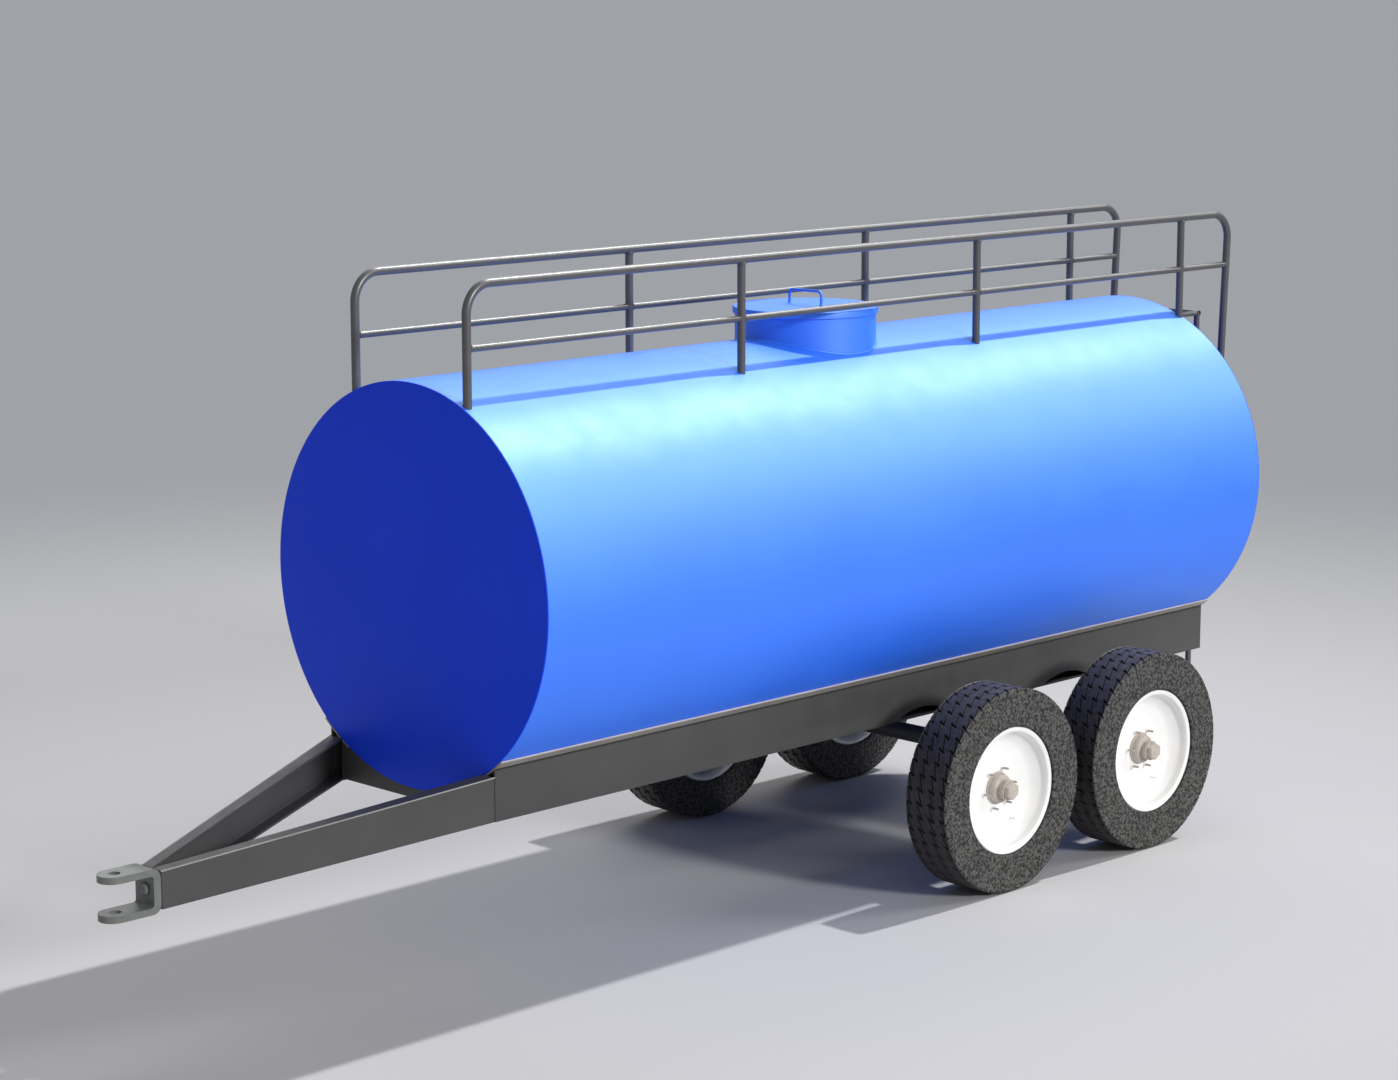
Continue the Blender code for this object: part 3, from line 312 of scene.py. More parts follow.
TANK_BLUE = painted("tank_blue", (0.008, 0.138, 0.94), (0.010, 0.150, 0.99), 0.54, 0.02,
                    specular=1.0, tint=(0.58, 0.95, 1.0), ior=1.8)
# The heads wear the shell's paint made deeper and duller: a painted shade, not a second paint
TANK_HEAD_PAINTED_SHADE = painted("tank_head_painted_shade", (0.011, 0.055, 0.84), (0.013, 0.062, 0.89), 0.50, 0.03,
                    specular=0.15, tint=(0.60, 0.95, 1.0))
CHASSIS_GREY = painted("chassis_grey", (0.050, 0.050, 0.050), (0.060, 0.060, 0.059), 0.50, 0.04, patch=2.5)
# Pale grey for the tube along each drawbar beam's top outer edge: a painted highlight on the rounded corner
DRAWBAR_PAINTED_HIGHLIGHT = painted("painted_drawbar_highlight", (0.26, 0.26, 0.255), (0.33, 0.33, 0.32), 0.35, patch=9.0)
# Pads in a pale beige-grey well above the rails' grey: a painted reflection of the pale floor on their
# downward face
PAD_PAINTED_REFLECTION = painted("painted_pad_reflection", (0.27, 0.255, 0.235), (0.33, 0.315, 0.29), 0.45, patch=3.0)
# Pale lilac for the bead on each pad's upper edge: a painted highlight where that edge catches the light
PAD_EDGE_PAINTED_HIGHLIGHT = painted("painted_pad_edge_highlight", (0.43, 0.40, 0.47), (0.50, 0.47, 0.54), 0.40, patch=9.0)
# Near-black for the bead along each rail's top: a painted shadow under the pad's overhang
RAIL_PAINTED_SHADOW = painted("painted_pad_shadow", (0.012, 0.012, 0.010), (0.020, 0.020, 0.017), 0.70, patch=9.0)
RAIL_GREY = painted("handrail_grey", (0.068, 0.066, 0.070), (0.078, 0.075, 0.079), 0.36, 0.02, patch=3.0,
                    specular=0.8)
CLEVIS_GREY = painted("clevis_grey", (0.125, 0.135, 0.125), (0.155, 0.165, 0.155), 0.42, patch=18.0)
WHEEL_WHITE = painted("wheel_white", (0.83, 0.83, 0.82), (0.89, 0.89, 0.88), 0.40, patch=5.0)
HUB_BEIGE = painted("hub_beige", (0.41, 0.36, 0.32), (0.48, 0.43, 0.375), 0.45, patch=30.0)
DRUM_IRON = painted("drum_iron", (0.030, 0.028, 0.027), (0.060, 0.050, 0.045), 0.65, patch=25.0,
                    peel=420.0, peel_depth=0.001, metallic=0.4)
BOLT_STEEL = painted("bolt_steel", (0.28, 0.27, 0.26), (0.38, 0.37, 0.35), 0.35, patch=60.0, metallic=0.9)
# Strong dark-to-light pebble contrast on the sidewall, darkest in the relief's hollows as painted shade
SIDEWALL = rubber("tyre_sidewall", (0.015, 0.015, 0.014), (0.095, 0.095, 0.091), 74.0, 0.014)
TREAD = rubber("tyre_tread", (0.036, 0.031, 0.031), (0.056, 0.049, 0.048), 45.0, 0.0012, 0.52)
# Near-black rubber for groove floors and notches: painted shade in the tread's recesses
GROOVE_PAINTED_SHADE = rubber("painted_groove_shade", (0.004, 0.004, 0.006), (0.009, 0.009, 0.012), 60.0, 0.0005, 0.9)


# Meshes. A profile is a list of (radius, along) points that is turned round an axis.

def make(name, mesh, materials, body, replaces=(), angle=32.0):
    """Turn a bmesh in the row frame into a piece that rides on a body."""
    bmesh.ops.recalc_face_normals(mesh, faces=mesh.faces)
    data = bpy.data.meshes.new(name)
    mesh.to_mesh(data)
    mesh.free()
    for paint in materials if isinstance(materials, (list, tuple)) else [materials]:
        data.materials.append(paint)
    data.shade_smooth()
    data.set_sharp_from_angle(angle=math.radians(angle))
    piece = bpy.data.objects.new(name, data)
    bpy.context.scene.collection.objects.link(piece)
    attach(piece, body)
    if replaces:
        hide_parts(*replaces)
    return piece


def soften(piece, width, segments=2, angle=35.0):
    """Rounded edges on a hard piece."""
    edge = piece.modifiers.new("edges", "BEVEL")
    edge.width = width
    edge.segments = segments
    edge.limit_method = "ANGLE"
    edge.angle_limit = math.radians(angle)
    edge.harden_normals = True
    return piece


def softened_copy(node, paint, width, angle=35.0, segments=2, smooth=32.0):
    """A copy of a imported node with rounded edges, shown in its place.

    width is the edges' rounding; angle and smooth are the least angles that round and that stay sharp.
    """
    mesh = bmesh.new()
    mesh.from_mesh(nodes[node].data)
    bmesh.ops.remove_doubles(mesh, verts=mesh.verts, dist=1e-5)
    bmesh.ops.dissolve_limit(mesh, angle_limit=math.radians(0.5), verts=mesh.verts, edges=mesh.edges)
    piece = make(node + "_finish", mesh, paint, nodes[node]["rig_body"], (node,), smooth)
    return soften(piece, width, segments, angle)


AXIS_TURNS = {
    "x": lambda radius, along, c, s: (along, radius * c, radius * s),
    "y": lambda radius, along, c, s: (radius * c, along, radius * s),
    "z": lambda radius, along, c, s: (radius * c, radius * s, along),
}


def add_lathe(mesh, profile, axis, centre, segments, closed=True, side=1, hexagonal=()):
    """Turn (radius, along) points round an axis; points in hexagonal follow a hexagon."""
    place = AXIS_TURNS[axis]
    centre = Vector(centre)
    rings = []
    for index, (radius, along) in enumerate(profile):
        if radius <= 0.0:
            rings.append([mesh.verts.new(centre + Vector(place(0.0, side * along, 1.0, 0.0)))])
            continue
        ring = []
        for i in range(segments):
            angle = 2 * math.pi * i / segments
            reach = radius
            if index in hexagonal:
                reach = radius / math.cos((angle + math.pi / 6) % (math.pi / 3) - math.pi / 6)
            ring.append(mesh.verts.new(
                centre + Vector(place(reach, side * along, math.cos(angle), math.sin(angle)))))
        rings.append(ring)
    pairs = list(zip(rings, rings[1:]))
    if closed:
        pairs.append((rings[-1], rings[0]))
    for first, second in pairs:
        if len(first) == 1 and len(second) == 1:
            continue
        for i in range(segments):
            j = (i + 1) % segments
            corners = (first[i % len(first)], first[j % len(first)],
                       second[j % len(second)], second[i % len(second)])
            mesh.faces.new(list(dict.fromkeys(corners)))


def arc(centre, radius, start, end, steps):
    """Points on an arc, angles in degrees."""
    points = []
    for i in range(steps + 1):
        angle = math.radians(start + (end - start) * i / steps)
        points.append((centre[0] + radius * math.cos(angle), centre[1] + radius * math.sin(angle)))
    return points


def rounded(points, radius, steps):
    """A path whose inner corners are rounded by arcs."""
    path = [Vector(points[0])]
    for before, corner, after in zip(points, points[1:], points[2:]):
        corner = Vector(corner)
        back = (Vector(before) - corner).normalized()
        ahead = (Vector(after) - corner).normalized()
        half = back.angle(ahead) / 2
        reach = radius / math.tan(half)
        centre = corner + (back + ahead).normalized() * radius / math.sin(half)
        start = corner + back * reach - centre
        end = corner + ahead * reach - centre
        for i in range(steps + 1):
            path.append(centre + start.slerp(end, i / steps).normalized() * radius)
    path.append(Vector(points[-1]))
    return path


def add_tube(mesh, path, radius, sides, ripple=0.0, every=0.0):
    """Round bar along a path in one plane; a ripple every so far gives it the beads of a weld."""
    path = [Vector(point) for point in path]
    spread = Vector((0, 0, 0))
    for before, point, after in zip(path, path[1:], path[2:]):
        spread += (point - before).cross(after - point)
    direction = (path[-1] - path[0]).normalized()
    if spread.length < 1e-9:
        spread = direction.cross(Vector((0, 0, 1)) if abs(direction.z) < 0.9 else Vector((1, 0, 0)))
    normal = spread.normalized()
    rings = []
    travelled = 0.0
    for index, point in enumerate(path):
        entering = (point - path[index - 1]).normalized() if index > 0 else None
        leaving = (path[index + 1] - point).normalized() if index < len(path) - 1 else None
        if index > 0:
            travelled += (point - path[index - 1]).length
        along = ((entering or leaving) + (leaving or entering)).normalized()
        across = normal.cross(along).normalized()
        size = radius
        if ripple:
            size += ripple * (0.5 - abs((travelled / every) % 1.0 - 0.5))
        rings.append([mesh.verts.new(point + (normal * math.cos(2 * math.pi * i / sides)
                                              + across * math.sin(2 * math.pi * i / sides)) * size)
                      for i in range(sides)])
    for first, second in zip(rings, rings[1:]):
        for i in range(sides):
            j = (i + 1) % sides
            mesh.faces.new((first[i], first[j], second[j], second[i]))
    mesh.faces.new(rings[0])
    mesh.faces.new(rings[-1])


def add_weld_ring(mesh, path, radius, across, sides=BEAD_SIDES, ripple=0.0009):
    """Closed weld bead along a ring of points; across is roughly square to the ring."""
    count = len(path)
    rings = []
    for i, point in enumerate(path):
        along = (path[(i + 1) % count] - path[i - 1]).normalized()
        second = along.cross(across).normalized()
        first = second.cross(along).normalized()
        size = radius + (ripple if i % 2 else 0.0)
        rings.append([mesh.verts.new(point + (first * math.cos(2 * math.pi * k / sides)
                                              + second * math.sin(2 * math.pi * k / sides)) * size)
                      for k in range(sides)])
    for i, first in enumerate(rings):
        second = rings[(i + 1) % count]
        for k in range(sides):
            j = (k + 1) % sides
            mesh.faces.new((first[k], first[j], second[j], second[k]))


def divided(start, end, step):
    """Points along a straight line at about the given spacing."""
    start = Vector(start)
    end = Vector(end)
    count = max(2, round((end - start).length / step))
    return [start.lerp(end, i / count) for i in range(count + 1)]


def cut(piece, cutter):
    """Boolean cut, applied at once; the cutter is deleted."""
    step = piece.modifiers.new("cut", "BOOLEAN")
    step.operation = "DIFFERENCE"
    step.solver = "EXACT"
    step.object = cutter
    graph = bpy.context.evaluated_depsgraph_get()
    mesh = bpy.data.meshes.new_from_object(piece.evaluated_get(graph))
    piece.modifiers.clear()
    piece.data = mesh
    bpy.data.objects.remove(cutter, do_unlink=True)


def cutter_from(mesh):
    """Temporary object for a cut."""
    bmesh.ops.recalc_face_normals(mesh, faces=mesh.faces)
    data = bpy.data.meshes.new("cutter")
    mesh.to_mesh(data)
    mesh.free()
    piece = bpy.data.objects.new("cutter", data)
    bpy.context.scene.collection.objects.link(piece)
    return piece


# Tank

def build_tank():
    """Smooth shell with its manhole opening, and two flat heads with a rolled edge."""
    neck_low, neck_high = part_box("manhole_neck")
    middle = ((neck_low.x + neck_high.x) / 2, 0.0, TANK_AXIS_Z)
    mesh = bmesh.new()
    ends = (REAR_X + HEAD_THICKNESS, FRONT_X - HEAD_THICKNESS)
    inner = TANK_RADIUS - TANK_WALL
    add_lathe(mesh, ((TANK_RADIUS, ends[0]), (TANK_RADIUS, ends[1]), (inner, ends[1]), (inner, ends[0])),
              "x", (0, 0, TANK_AXIS_Z), TANK_SEGMENTS)
    shell = make("tank_skin", mesh, TANK_BLUE, "chassis", ("tank_shell",))
    hole = bmesh.new()
    opening = (neck_high.y - neck_low.y) / 2 - NECK_WALL
    add_lathe(hole, ((0.0, 0.0), (opening, 0.0), (opening, 1.2), (0.0, 1.2)), "z", middle,
              LATHE_SEGMENTS, closed=False)
    cut(shell, cutter_from(hole))
    shell.data.shade_smooth()
    shell.data.set_sharp_from_angle(angle=math.radians(32))
    for name, face, inward in (("front", FRONT_X, -1), ("rear", REAR_X, 1)):
        edge = HEAD_EDGE_RADIUS
        profile = [(0.0, face), (TANK_RADIUS - edge, face)]
        for i in range(1, 5):
            angle = math.pi / 2 * i / 4
            profile.append((TANK_RADIUS - edge + edge * math.sin(angle),
                            face + inward * (edge - edge * math.cos(angle))))
        profile += [(TANK_RADIUS, face + inward * HEAD_THICKNESS), (0.0, face + inward * HEAD_THICKNESS)]
        mesh = bmesh.new()
        add_lathe(mesh, profile, "x", (0, 0, TANK_AXIS_Z), TANK_SEGMENTS, closed=False)
        # Heads in the darker head paint, which paints shade on them
        make("tank_" + name + "_head_finish", mesh, TANK_HEAD_PAINTED_SHADE, "chassis",
             ("tank_" + name + "_head",))


def build_manhole():
    """Neck with a weld at its foot, and the crowned lid with its bail handle."""
    low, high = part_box("manhole_neck")
    centre_x = (low.x + high.x) / 2
    radius = (high.y - low.y) / 2
    mesh = bmesh.new()
    outer_low = []
    outer_high = []
    inner_low = []
    inner_high = []
    inner_radius = radius - NECK_WALL
    for i in range(MANHOLE_SEGMENTS):
        angle = 2 * math.pi * i / MANHOLE_SEGMENTS
        for reach, lower, upper in ((radius, outer_low, outer_high), (inner_radius, inner_low, inner_high)):
            y = reach * math.sin(angle)
            x = centre_x + reach * math.cos(angle)
            foot = TANK_AXIS_Z + math.sqrt(TANK_RADIUS ** 2 - y * y) + SEAM
            lower.append(mesh.verts.new((x, y, foot)))
            upper.append(mesh.verts.new((x, y, high.z)))
    for first, second in ((outer_low, outer_high), (outer_high, inner_high),
                          (inner_high, inner_low), (inner_low, outer_low)):
        for i in range(MANHOLE_SEGMENTS):
            j = (i + 1) % MANHOLE_SEGMENTS
            mesh.faces.new((first[i], first[j], second[j], second[i]))
    make("manhole_neck_finish", mesh, TANK_BLUE, "chassis", ("manhole_neck",))
    bead = bmesh.new()
    add_weld_ring(bead, [Vector((centre_x + radius * math.cos(a), radius * math.sin(a),
                                 TANK_AXIS_Z + math.sqrt(TANK_RADIUS ** 2 - (radius * math.sin(a)) ** 2)))
                         for a in [2 * math.pi * i / 360 for i in range(360)]],
                  NECK_WELD_RADIUS, Vector((0, 0, 1)))
    make("manhole_neck_weld", bead, TANK_BLUE, "chassis", angle=60)

    low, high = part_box("manhole_lid")
    rim = (high.y - low.y) / 2
    top = high.z
    skirt = high.z - low.z
    inner = rim - LID_WALL
    crown = LID_CROWN
    edge = LID_EDGE_RADIUS
    profile = [(0.0, 0.0), (rim * 0.35, -crown * 0.12), (rim * 0.7, -crown * 0.5), (rim - edge, -crown)]
    profile += [(rim - edge + edge * math.sin(math.radians(a)),
                 -crown - edge + edge * math.cos(math.radians(a))) for a in (30, 60, 90)]
    profile += [(rim, -skirt + 0.001), (rim - 0.001, -skirt), (inner + 0.001, -skirt),
                (inner, -skirt + 0.001), (inner, -LID_THICKNESS), (0.0, -LID_THICKNESS)]
    lid = bmesh.new()
    add_lathe(lid, profile, "z", (centre_x, 0, top), MANHOLE_SEGMENTS, closed=False)
    make("manhole_lid_finish", lid, TANK_BLUE, "manhole_lid", ("manhole_lid",), angle=40)
    low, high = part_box("lid_handle")
    bar = (high.x - low.x) / 2
    half = (high.y - low.y) / 2 - bar
    handle = bmesh.new()
    path = rounded(((centre_x, -half, low.z), (centre_x, -half, high.z - bar),
                    (centre_x, half, high.z - bar), (centre_x, half, low.z)), HANDLE_BEND, 10)
    add_tube(handle, path, bar, STUD_SEGMENTS)
    for sign in (-1, 1):
        add_lathe(handle, ((0.0, 0.006), (bar, 0.006), (bar * 1.35, 0.003), (bar * 1.6, 0.0), (0.0, 0.0)),
                  "z", (centre_x, sign * half, low.z - 0.001), THIN_BAR_SIDES, closed=False)
    make("lid_handle_finish", handle, TANK_BLUE, "manhole_lid", ("lid_handle",))


# Outlet

def build_outlet():
    """Flanged spigot welded to the rear head, its blank flange and eight bolts with nuts."""
    low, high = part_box("rear_outlet")
    blank_low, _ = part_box("outlet_blank_flange")
    radius = (high.y - low.y) / 2
    z = (high.z + low.z) / 2
    pipe = OUTLET_PIPE
    bore = OUTLET_BORE
    thick = OUTLET_FLANGE
    blank = low.x - blank_low.x - SEAM
    centre = (REAR_X, 0.0, z)
    reach = REAR_X - low.x
    spigot = bmesh.new()
    add_lathe(spigot, [(pipe, -SEAM), (pipe, -reach + thick + 0.004),
                       (pipe + 0.003, -reach + thick + 0.001), (radius - 0.0015, -reach + thick),
                       (radius, -reach + thick - 0.0015), (radius, -reach + 0.0015),
                       (radius - 0.0015, -reach), (bore, -reach), (bore, -SEAM)],
              "x", centre, LATHE_SEGMENTS)
    make("rear_outlet_finish", spigot, TANK_BLUE, "chassis", ("rear_outlet",))
    face = -reach - SEAM
    plate = bmesh.new()
    add_lathe(plate, [(0.0, face), (radius - 0.001, face), (radius, face - 0.001),
                      (radius, face - blank + 0.003), (radius - 0.003, face - blank),
                      (bore + 0.004, face - blank), (bore + 0.002, face - blank + 0.001),
                      (0.0, face - blank + 0.001)],
              "x", centre, LATHE_SEGMENTS, closed=False)
    make("outlet_blank_finish", plate, TANK_BLUE, "chassis", ("outlet_blank_flange",))
    bolts = bmesh.new()
    front = -reach + thick
    back = face - blank
    for i in range(OUTLET_BOLTS):
        angle = math.radians(360 / OUTLET_BOLTS * (i + 0.5))
        spot = (REAR_X, OUTLET_BOLT_CIRCLE * math.cos(angle), z + OUTLET_BOLT_CIRCLE * math.sin(angle))
        add_lathe(bolts, [(0.0, front + 0.018), (0.0075, front + 0.018), (0.0080, front + 0.017),
                          (0.0080, front + 0.012), (0.0105, front + 0.012), (0.0120, front + 0.011),
                          (0.0120, front), (0.0, front)],
                  "x", spot, NUT_SEGMENTS, closed=False, hexagonal=(5, 6))
        add_lathe(bolts, [(0.0, back), (0.0120, back), (0.0120, back - 0.008),
                          (0.0105, back - 0.0095), (0.0, back - 0.0095)],
                  "x", spot, NUT_SEGMENTS, closed=False, hexagonal=(1, 2))
    make("outlet_bolts", bolts, BOLT_STEEL, "chassis")
    ring = bmesh.new()
    foot = pipe + 0.001
    add_weld_ring(ring, [Vector((REAR_X - 0.0005, foot * math.cos(a), z + foot * math.sin(a)))
                         for a in [2 * math.pi * i / 120 for i in range(120)]],
                  OUTLET_WELD_RADIUS, Vector((1, 0, 0)))
    make("outlet_weld", ring, TANK_BLUE, "chassis", angle=60)


# Chassis

def build_chassis():
    """Rails, pads, hangers, saddles, drawbar and hitch with rounded edges."""
    for side, _ in SIDES:
        softened_copy(side + "_main_rail", CHASSIS_GREY, width=0.0025)
        # Pads in the pale paint that stands in for the floor's reflection
        softened_copy(side + "_tank_pad", PAD_PAINTED_REFLECTION, width=0.0015, angle=60)
        softened_copy(side + "_drawbar_beam", CHASSIS_GREY, width=0.005, segments=3)
        softened_copy(side + "_bogie_hanger", CHASSIS_GREY, width=0.003)
        softened_copy(side + "_walking_beam", CHASSIS_GREY, width=0.004, segments=3)
    for name in ("front_saddle", "forward_saddle", "bogie_saddle", "rear_saddle"):
        softened_copy(name, CHASSIS_GREY, width=0.0015)
    softened_copy("drawbar_nose_plate", CHASSIS_GREY, width=0.002)
    softened_copy("bogie_cross_shaft", CHASSIS_GREY, width=0.002, angle=50, smooth=40)
    softened_copy("hitch_clevis", CLEVIS_GREY, width=0.003, angle=40, segments=3)
    softened_copy("hitch_bolt", CLEVIS_GREY, width=0.002, angle=50, smooth=40)


def outer_top_corner(node, front):
    """The outermost top corner of a beam at its front or rear end."""
    points = [vertex.co for vertex in nodes[node].data.vertices]
    limit = max(p.x for p in points) if front else min(p.x for p in points)
    return max((p for p in points if abs(p.x - limit) < 0.03), key=lambda p: abs(p.y) + p.z).copy()


def build_welds():
    """The pad's upper-edge bead painted pale as a highlight, a near-black bead on the rail painted as the
    pad's shadow, the drawbar's rolled edges painted pale as a highlight, and its welds.
    """
    edges = bmesh.new()
    shadow_lines = bmesh.new()
    highlight_rolls = bmesh.new()
    welds = bmesh.new()
    for side, sign in SIDES:
        low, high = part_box(side + "_main_rail")
        pad_low, pad_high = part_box(side + "_tank_pad")
        face = max(abs(low.y), abs(high.y))
        outer = max(abs(pad_low.y), abs(pad_high.y))
        slope = math.acos(outer / (TANK_RADIUS + PAD_THICKNESS)) - PAD_EDGE_LEAD
        reach = TANK_RADIUS + PAD_EDGE_REACH
        place = (sign * reach * math.cos(slope), TANK_AXIS_Z - reach * math.sin(slope))
        # Bead along the pad's upper edge, in the pale paint that paints its highlight
        add_tube(edges, divided((pad_low.x + 0.002, *place), (pad_high.x - 0.002, *place), 0.02),
                 PAD_EDGE_RADIUS, BEAD_SIDES, ripple=0.0006, every=0.04)
        # A weld-like bead at the rail's top in near-black paint, painting the shadow under the pad
        top = TANK_AXIS_Z - math.sqrt((TANK_RADIUS + PAD_THICKNESS) ** 2 - face ** 2) - 0.003
        shadow_line_y = sign * (face + 0.0005)
        add_tube(shadow_lines, divided((low.x + 0.004, shadow_line_y, top), (high.x - 0.004, shadow_line_y, top), 0.008),
                 SHADOW_LINE_RADIUS, 6, ripple=0.0008, every=0.016)
        # Tube along the beam's top outer edge, in the pale paint that paints its highlight
        start = outer_top_corner(side + "_drawbar_beam", True)
        end = outer_top_corner(side + "_drawbar_beam", False)
        inset = Vector((0, -sign * ROLLED_EDGE_INSET, -ROLLED_EDGE_INSET))
        add_tube(highlight_rolls, divided(start + inset, end + inset, 0.03),
                 ROLLED_EDGE_RADIUS, BEAD_SIDES, ripple=0.0003, every=0.06)
        corner = sign * (face - 0.001)
        weld_x = FRONT_X - 0.001
        add_tube(welds, divided((weld_x, corner, low.z + 0.008), (weld_x, corner, end.z - 0.008), 0.004),
                 DRAWBAR_WELD_RADIUS, BEAD_SIDES, ripple=0.0012, every=0.008)
    make("pad_edge_painted_highlights", edges, PAD_EDGE_PAINTED_HIGHLIGHT, "chassis", angle=60)
    make("rail_painted_shadow_lines", shadow_lines, RAIL_PAINTED_SHADOW, "chassis", angle=60)
    make("drawbar_edge_painted_highlights", highlight_rolls, DRAWBAR_PAINTED_HIGHLIGHT, "chassis", angle=60)
    make("drawbar_welds", welds, CHASSIS_GREY, "chassis", angle=60)


# Wheels

def swing(share):
    """Sideways swing of a groove along one pitch: a quick return about 0 and a slow run."""
    place = (share + SWING_SHARE / 2) % 1.0
    if place < SWING_SHARE:
        return 2 * place / SWING_SHARE - 1
    return 1 - 2 * (place - SWING_SHARE) / (1 - SWING_SHARE)


def tread_rows(half):
    """Rows across the tread as (across, kind, lead): kind 0 is rib, 1 groove floor, 2 cut by notches."""
    edge = half - SHOULDER
    rows = [(-edge, 2, -NOTCH_LEAD)]
    for centre in TREAD_GROOVES:
        rows += [(centre - NOTCH_REACH - GROOVE_WALL, 0, -NOTCH_LEAD),
                 (centre - NOTCH_REACH, 2, -NOTCH_LEAD),
                 (centre - GROOVE_HALF - GROOVE_WALL, 2, 0.0), (centre - GROOVE_HALF, 1, 0.0),
                 (centre + GROOVE_HALF, 1, 0.0), (centre + GROOVE_HALF + GROOVE_WALL, 2, 0.0),
                 (centre + NOTCH_REACH, 2, NOTCH_LEAD),
                 (centre + NOTCH_REACH + GROOVE_WALL, 0, NOTCH_LEAD)]
    rows.append((edge, 2, NOTCH_LEAD))
    return [row for row in rows if abs(row[0]) <= edge]


def build_tyre(label, centre, side, radius, half, bead_radius, bead_half, flange):
    """Tyre with zigzag ribs cut by slanting notches, and flat pebbled sidewalls."""
    mesh = bmesh.new()
    shares = [(share, share in NOTCH_SHARES[1:3]) for share in NOTCH_SHARES + BLOCK_SHARES]
    columns = [(pitch + share, share, deep) for pitch in range(TREAD_PITCHES) for share, deep in shares]
    rows = tread_rows(half)
    side_rows = [(bead_radius, bead_half - 0.004, 0), (flange + 0.003, bead_half - 0.004, 0),
                 (flange + 0.004, half - 0.003, 0), (flange + 0.009, half, 0)]
    side_rows += [(radius * share, half, 0) for share in SIDEWALL_SHARES]
    side_rows += [(radius - 0.016, half, 0), (radius - 0.0075, half, 2),
                  (radius - 0.0045, half - 0.0008, 2), (radius - 0.0020, half - 0.0028, 2)]
    section = [(r, -y, kind, -NOTCH_LEAD if kind else 0.0) for r, y, kind in side_rows]
    section += [(radius - CROWN_DROP * (y / half) ** 2, y, kind, lead) for y, kind, lead in rows]
    section += [(r, y, kind, NOTCH_LEAD if kind else 0.0) for r, y, kind in reversed(side_rows)]
    first_row = len(side_rows)
    last_row = first_row + len(rows) - 1
    rings = []
    for turn, share, deep in columns:
        ring = []
        for index, (reach, across, kind, lead) in enumerate(section):
            inner_row = first_row < index < last_row
            y = across + (ZIGZAG * swing(share) if inner_row else 0.0)
            y = max(-half + SHOULDER, min(half - SHOULDER, y)) if inner_row else y
            depth = GROOVE_DEPTH if kind == 1 else NOTCH_DEPTH if kind == 2 and deep else 0.0
            angle = 2 * math.pi * (turn - lead) / TREAD_PITCHES
            ring.append(mesh.verts.new((centre.x + (reach - depth) * math.cos(angle), centre.y + side * y,
                                        centre.z + (reach - depth) * math.sin(angle))))
        rings.append(ring)
    for i, ring in enumerate(rings):
        following = rings[(i + 1) % len(rings)]
        notched = columns[i][2] and columns[(i + 1) % len(rings)][2]
        for k in range(len(section)):
            j = (k + 1) % len(section)
            face = mesh.faces.new((ring[k], ring[j], following[j], following[k]))
            if first_row - 2 <= k <= last_row + 1:
                face.material_index = 1
                kinds = (section[k][2], section[j][2])
                # Groove floors and deep notches take the near-black rubber that paints their shade
                if kinds == (1, 1) or (notched and 0 not in kinds):
                    face.material_index = 2
    make(label + "_tyre_tread", mesh, [SIDEWALL, TREAD, GROOVE_PAINTED_SHADE], label + "_wheel",
         (label + "_tyre",), angle=28)


def stud_places(axle, centre):
    """Middles of the studs, spaced evenly round the wheel's axis."""
    places = []
    for i in range(STUD_COUNT):
        angle = math.radians(STUD_PHASES[axle] + 360 / STUD_COUNT * i)
        places.append(centre + Vector((math.cos(angle), 0, math.sin(angle))) * STUD_CIRCLE)
    return places


def build_rim(label, axle, centre, side, seat, flange, edge, well, hole):
    """White rim with rolled flanges, a deep dished disc, painted nuts and a valve."""
    face = DISC_FACE
    inner = face - DISC_THICKNESS
    mesh = bmesh.new()
    profile = [(seat, edge - 0.012), (flange - 0.001, edge - 0.010), (flange, edge - 0.004)]
    profile += arc((flange - 0.006, edge - 0.006), 0.006, 10, 90, 4)
    profile += [(well + 0.014, edge - 0.001), (well + 0.006, edge - 0.006), (well + 0.001, edge - 0.016),
                (well, edge - 0.030), (well - 0.002, face + 0.050)]
    profile += [(well - 0.006 - DISH_WIDTH * t, face + DISH_HEIGHT * (1 - t) ** DISH_POWER)
                for t in DISH_STEPS]
    profile += [(hole + 0.050, face), (hole + 0.046, face + 0.002), (hole + 0.003, face + 0.002),
                (hole, face), (hole, inner), (well - 0.070, inner), (well - 0.030, inner + 0.008),
                (well - 0.010, inner + 0.026), (well - 0.004, inner + 0.050),
                (well - 0.004, -edge + 0.030), (well + 0.004, -edge + 0.010),
                (well + 0.014, -edge + 0.001), (flange - 0.006, -edge), (flange, -edge + 0.005),
                (flange - 0.001, -edge + 0.010), (seat, -edge + 0.012)]
    add_lathe(mesh, profile, "y", centre, RIM_SEGMENTS, side=side)
    seat_y = face + 0.001
    for spot in stud_places(axle, centre):
        add_lathe(mesh, [(0.0, seat_y), (0.0115, seat_y), (0.0115, seat_y + 0.002),
                         (0.0095, seat_y + 0.002), (0.0095, seat_y + 0.008),
                         (0.0085, seat_y + 0.009), (0.0, seat_y + 0.009)],
                  "y", spot, NUT_SEGMENTS, closed=False, side=side, hexagonal=(3, 4))
    make(label + "_rim_finish", mesh, WHEEL_WHITE, label + "_wheel", (label + "_rim",),
         angle=30)
    valve = bmesh.new()
    angle = math.radians(VALVE_ANGLE)
    spot = centre + Vector((math.cos(angle), 0, math.sin(angle))) * VALVE_CIRCLE
    add_lathe(valve, [(0.0, face - 0.002), (0.0085, face - 0.002), (0.0085, face + 0.003),
                      (0.0060, face + 0.006), (0.0042, face + 0.010), (0.0040, face + 0.026),
                      (0.0048, face + 0.027), (0.0048, face + 0.034), (0.0040, face + 0.036),
                      (0.0, face + 0.036)],
              "y", spot, STUD_SEGMENTS, closed=False, side=side)
    make(label + "_valve", valve, WHEEL_WHITE, label + "_wheel")


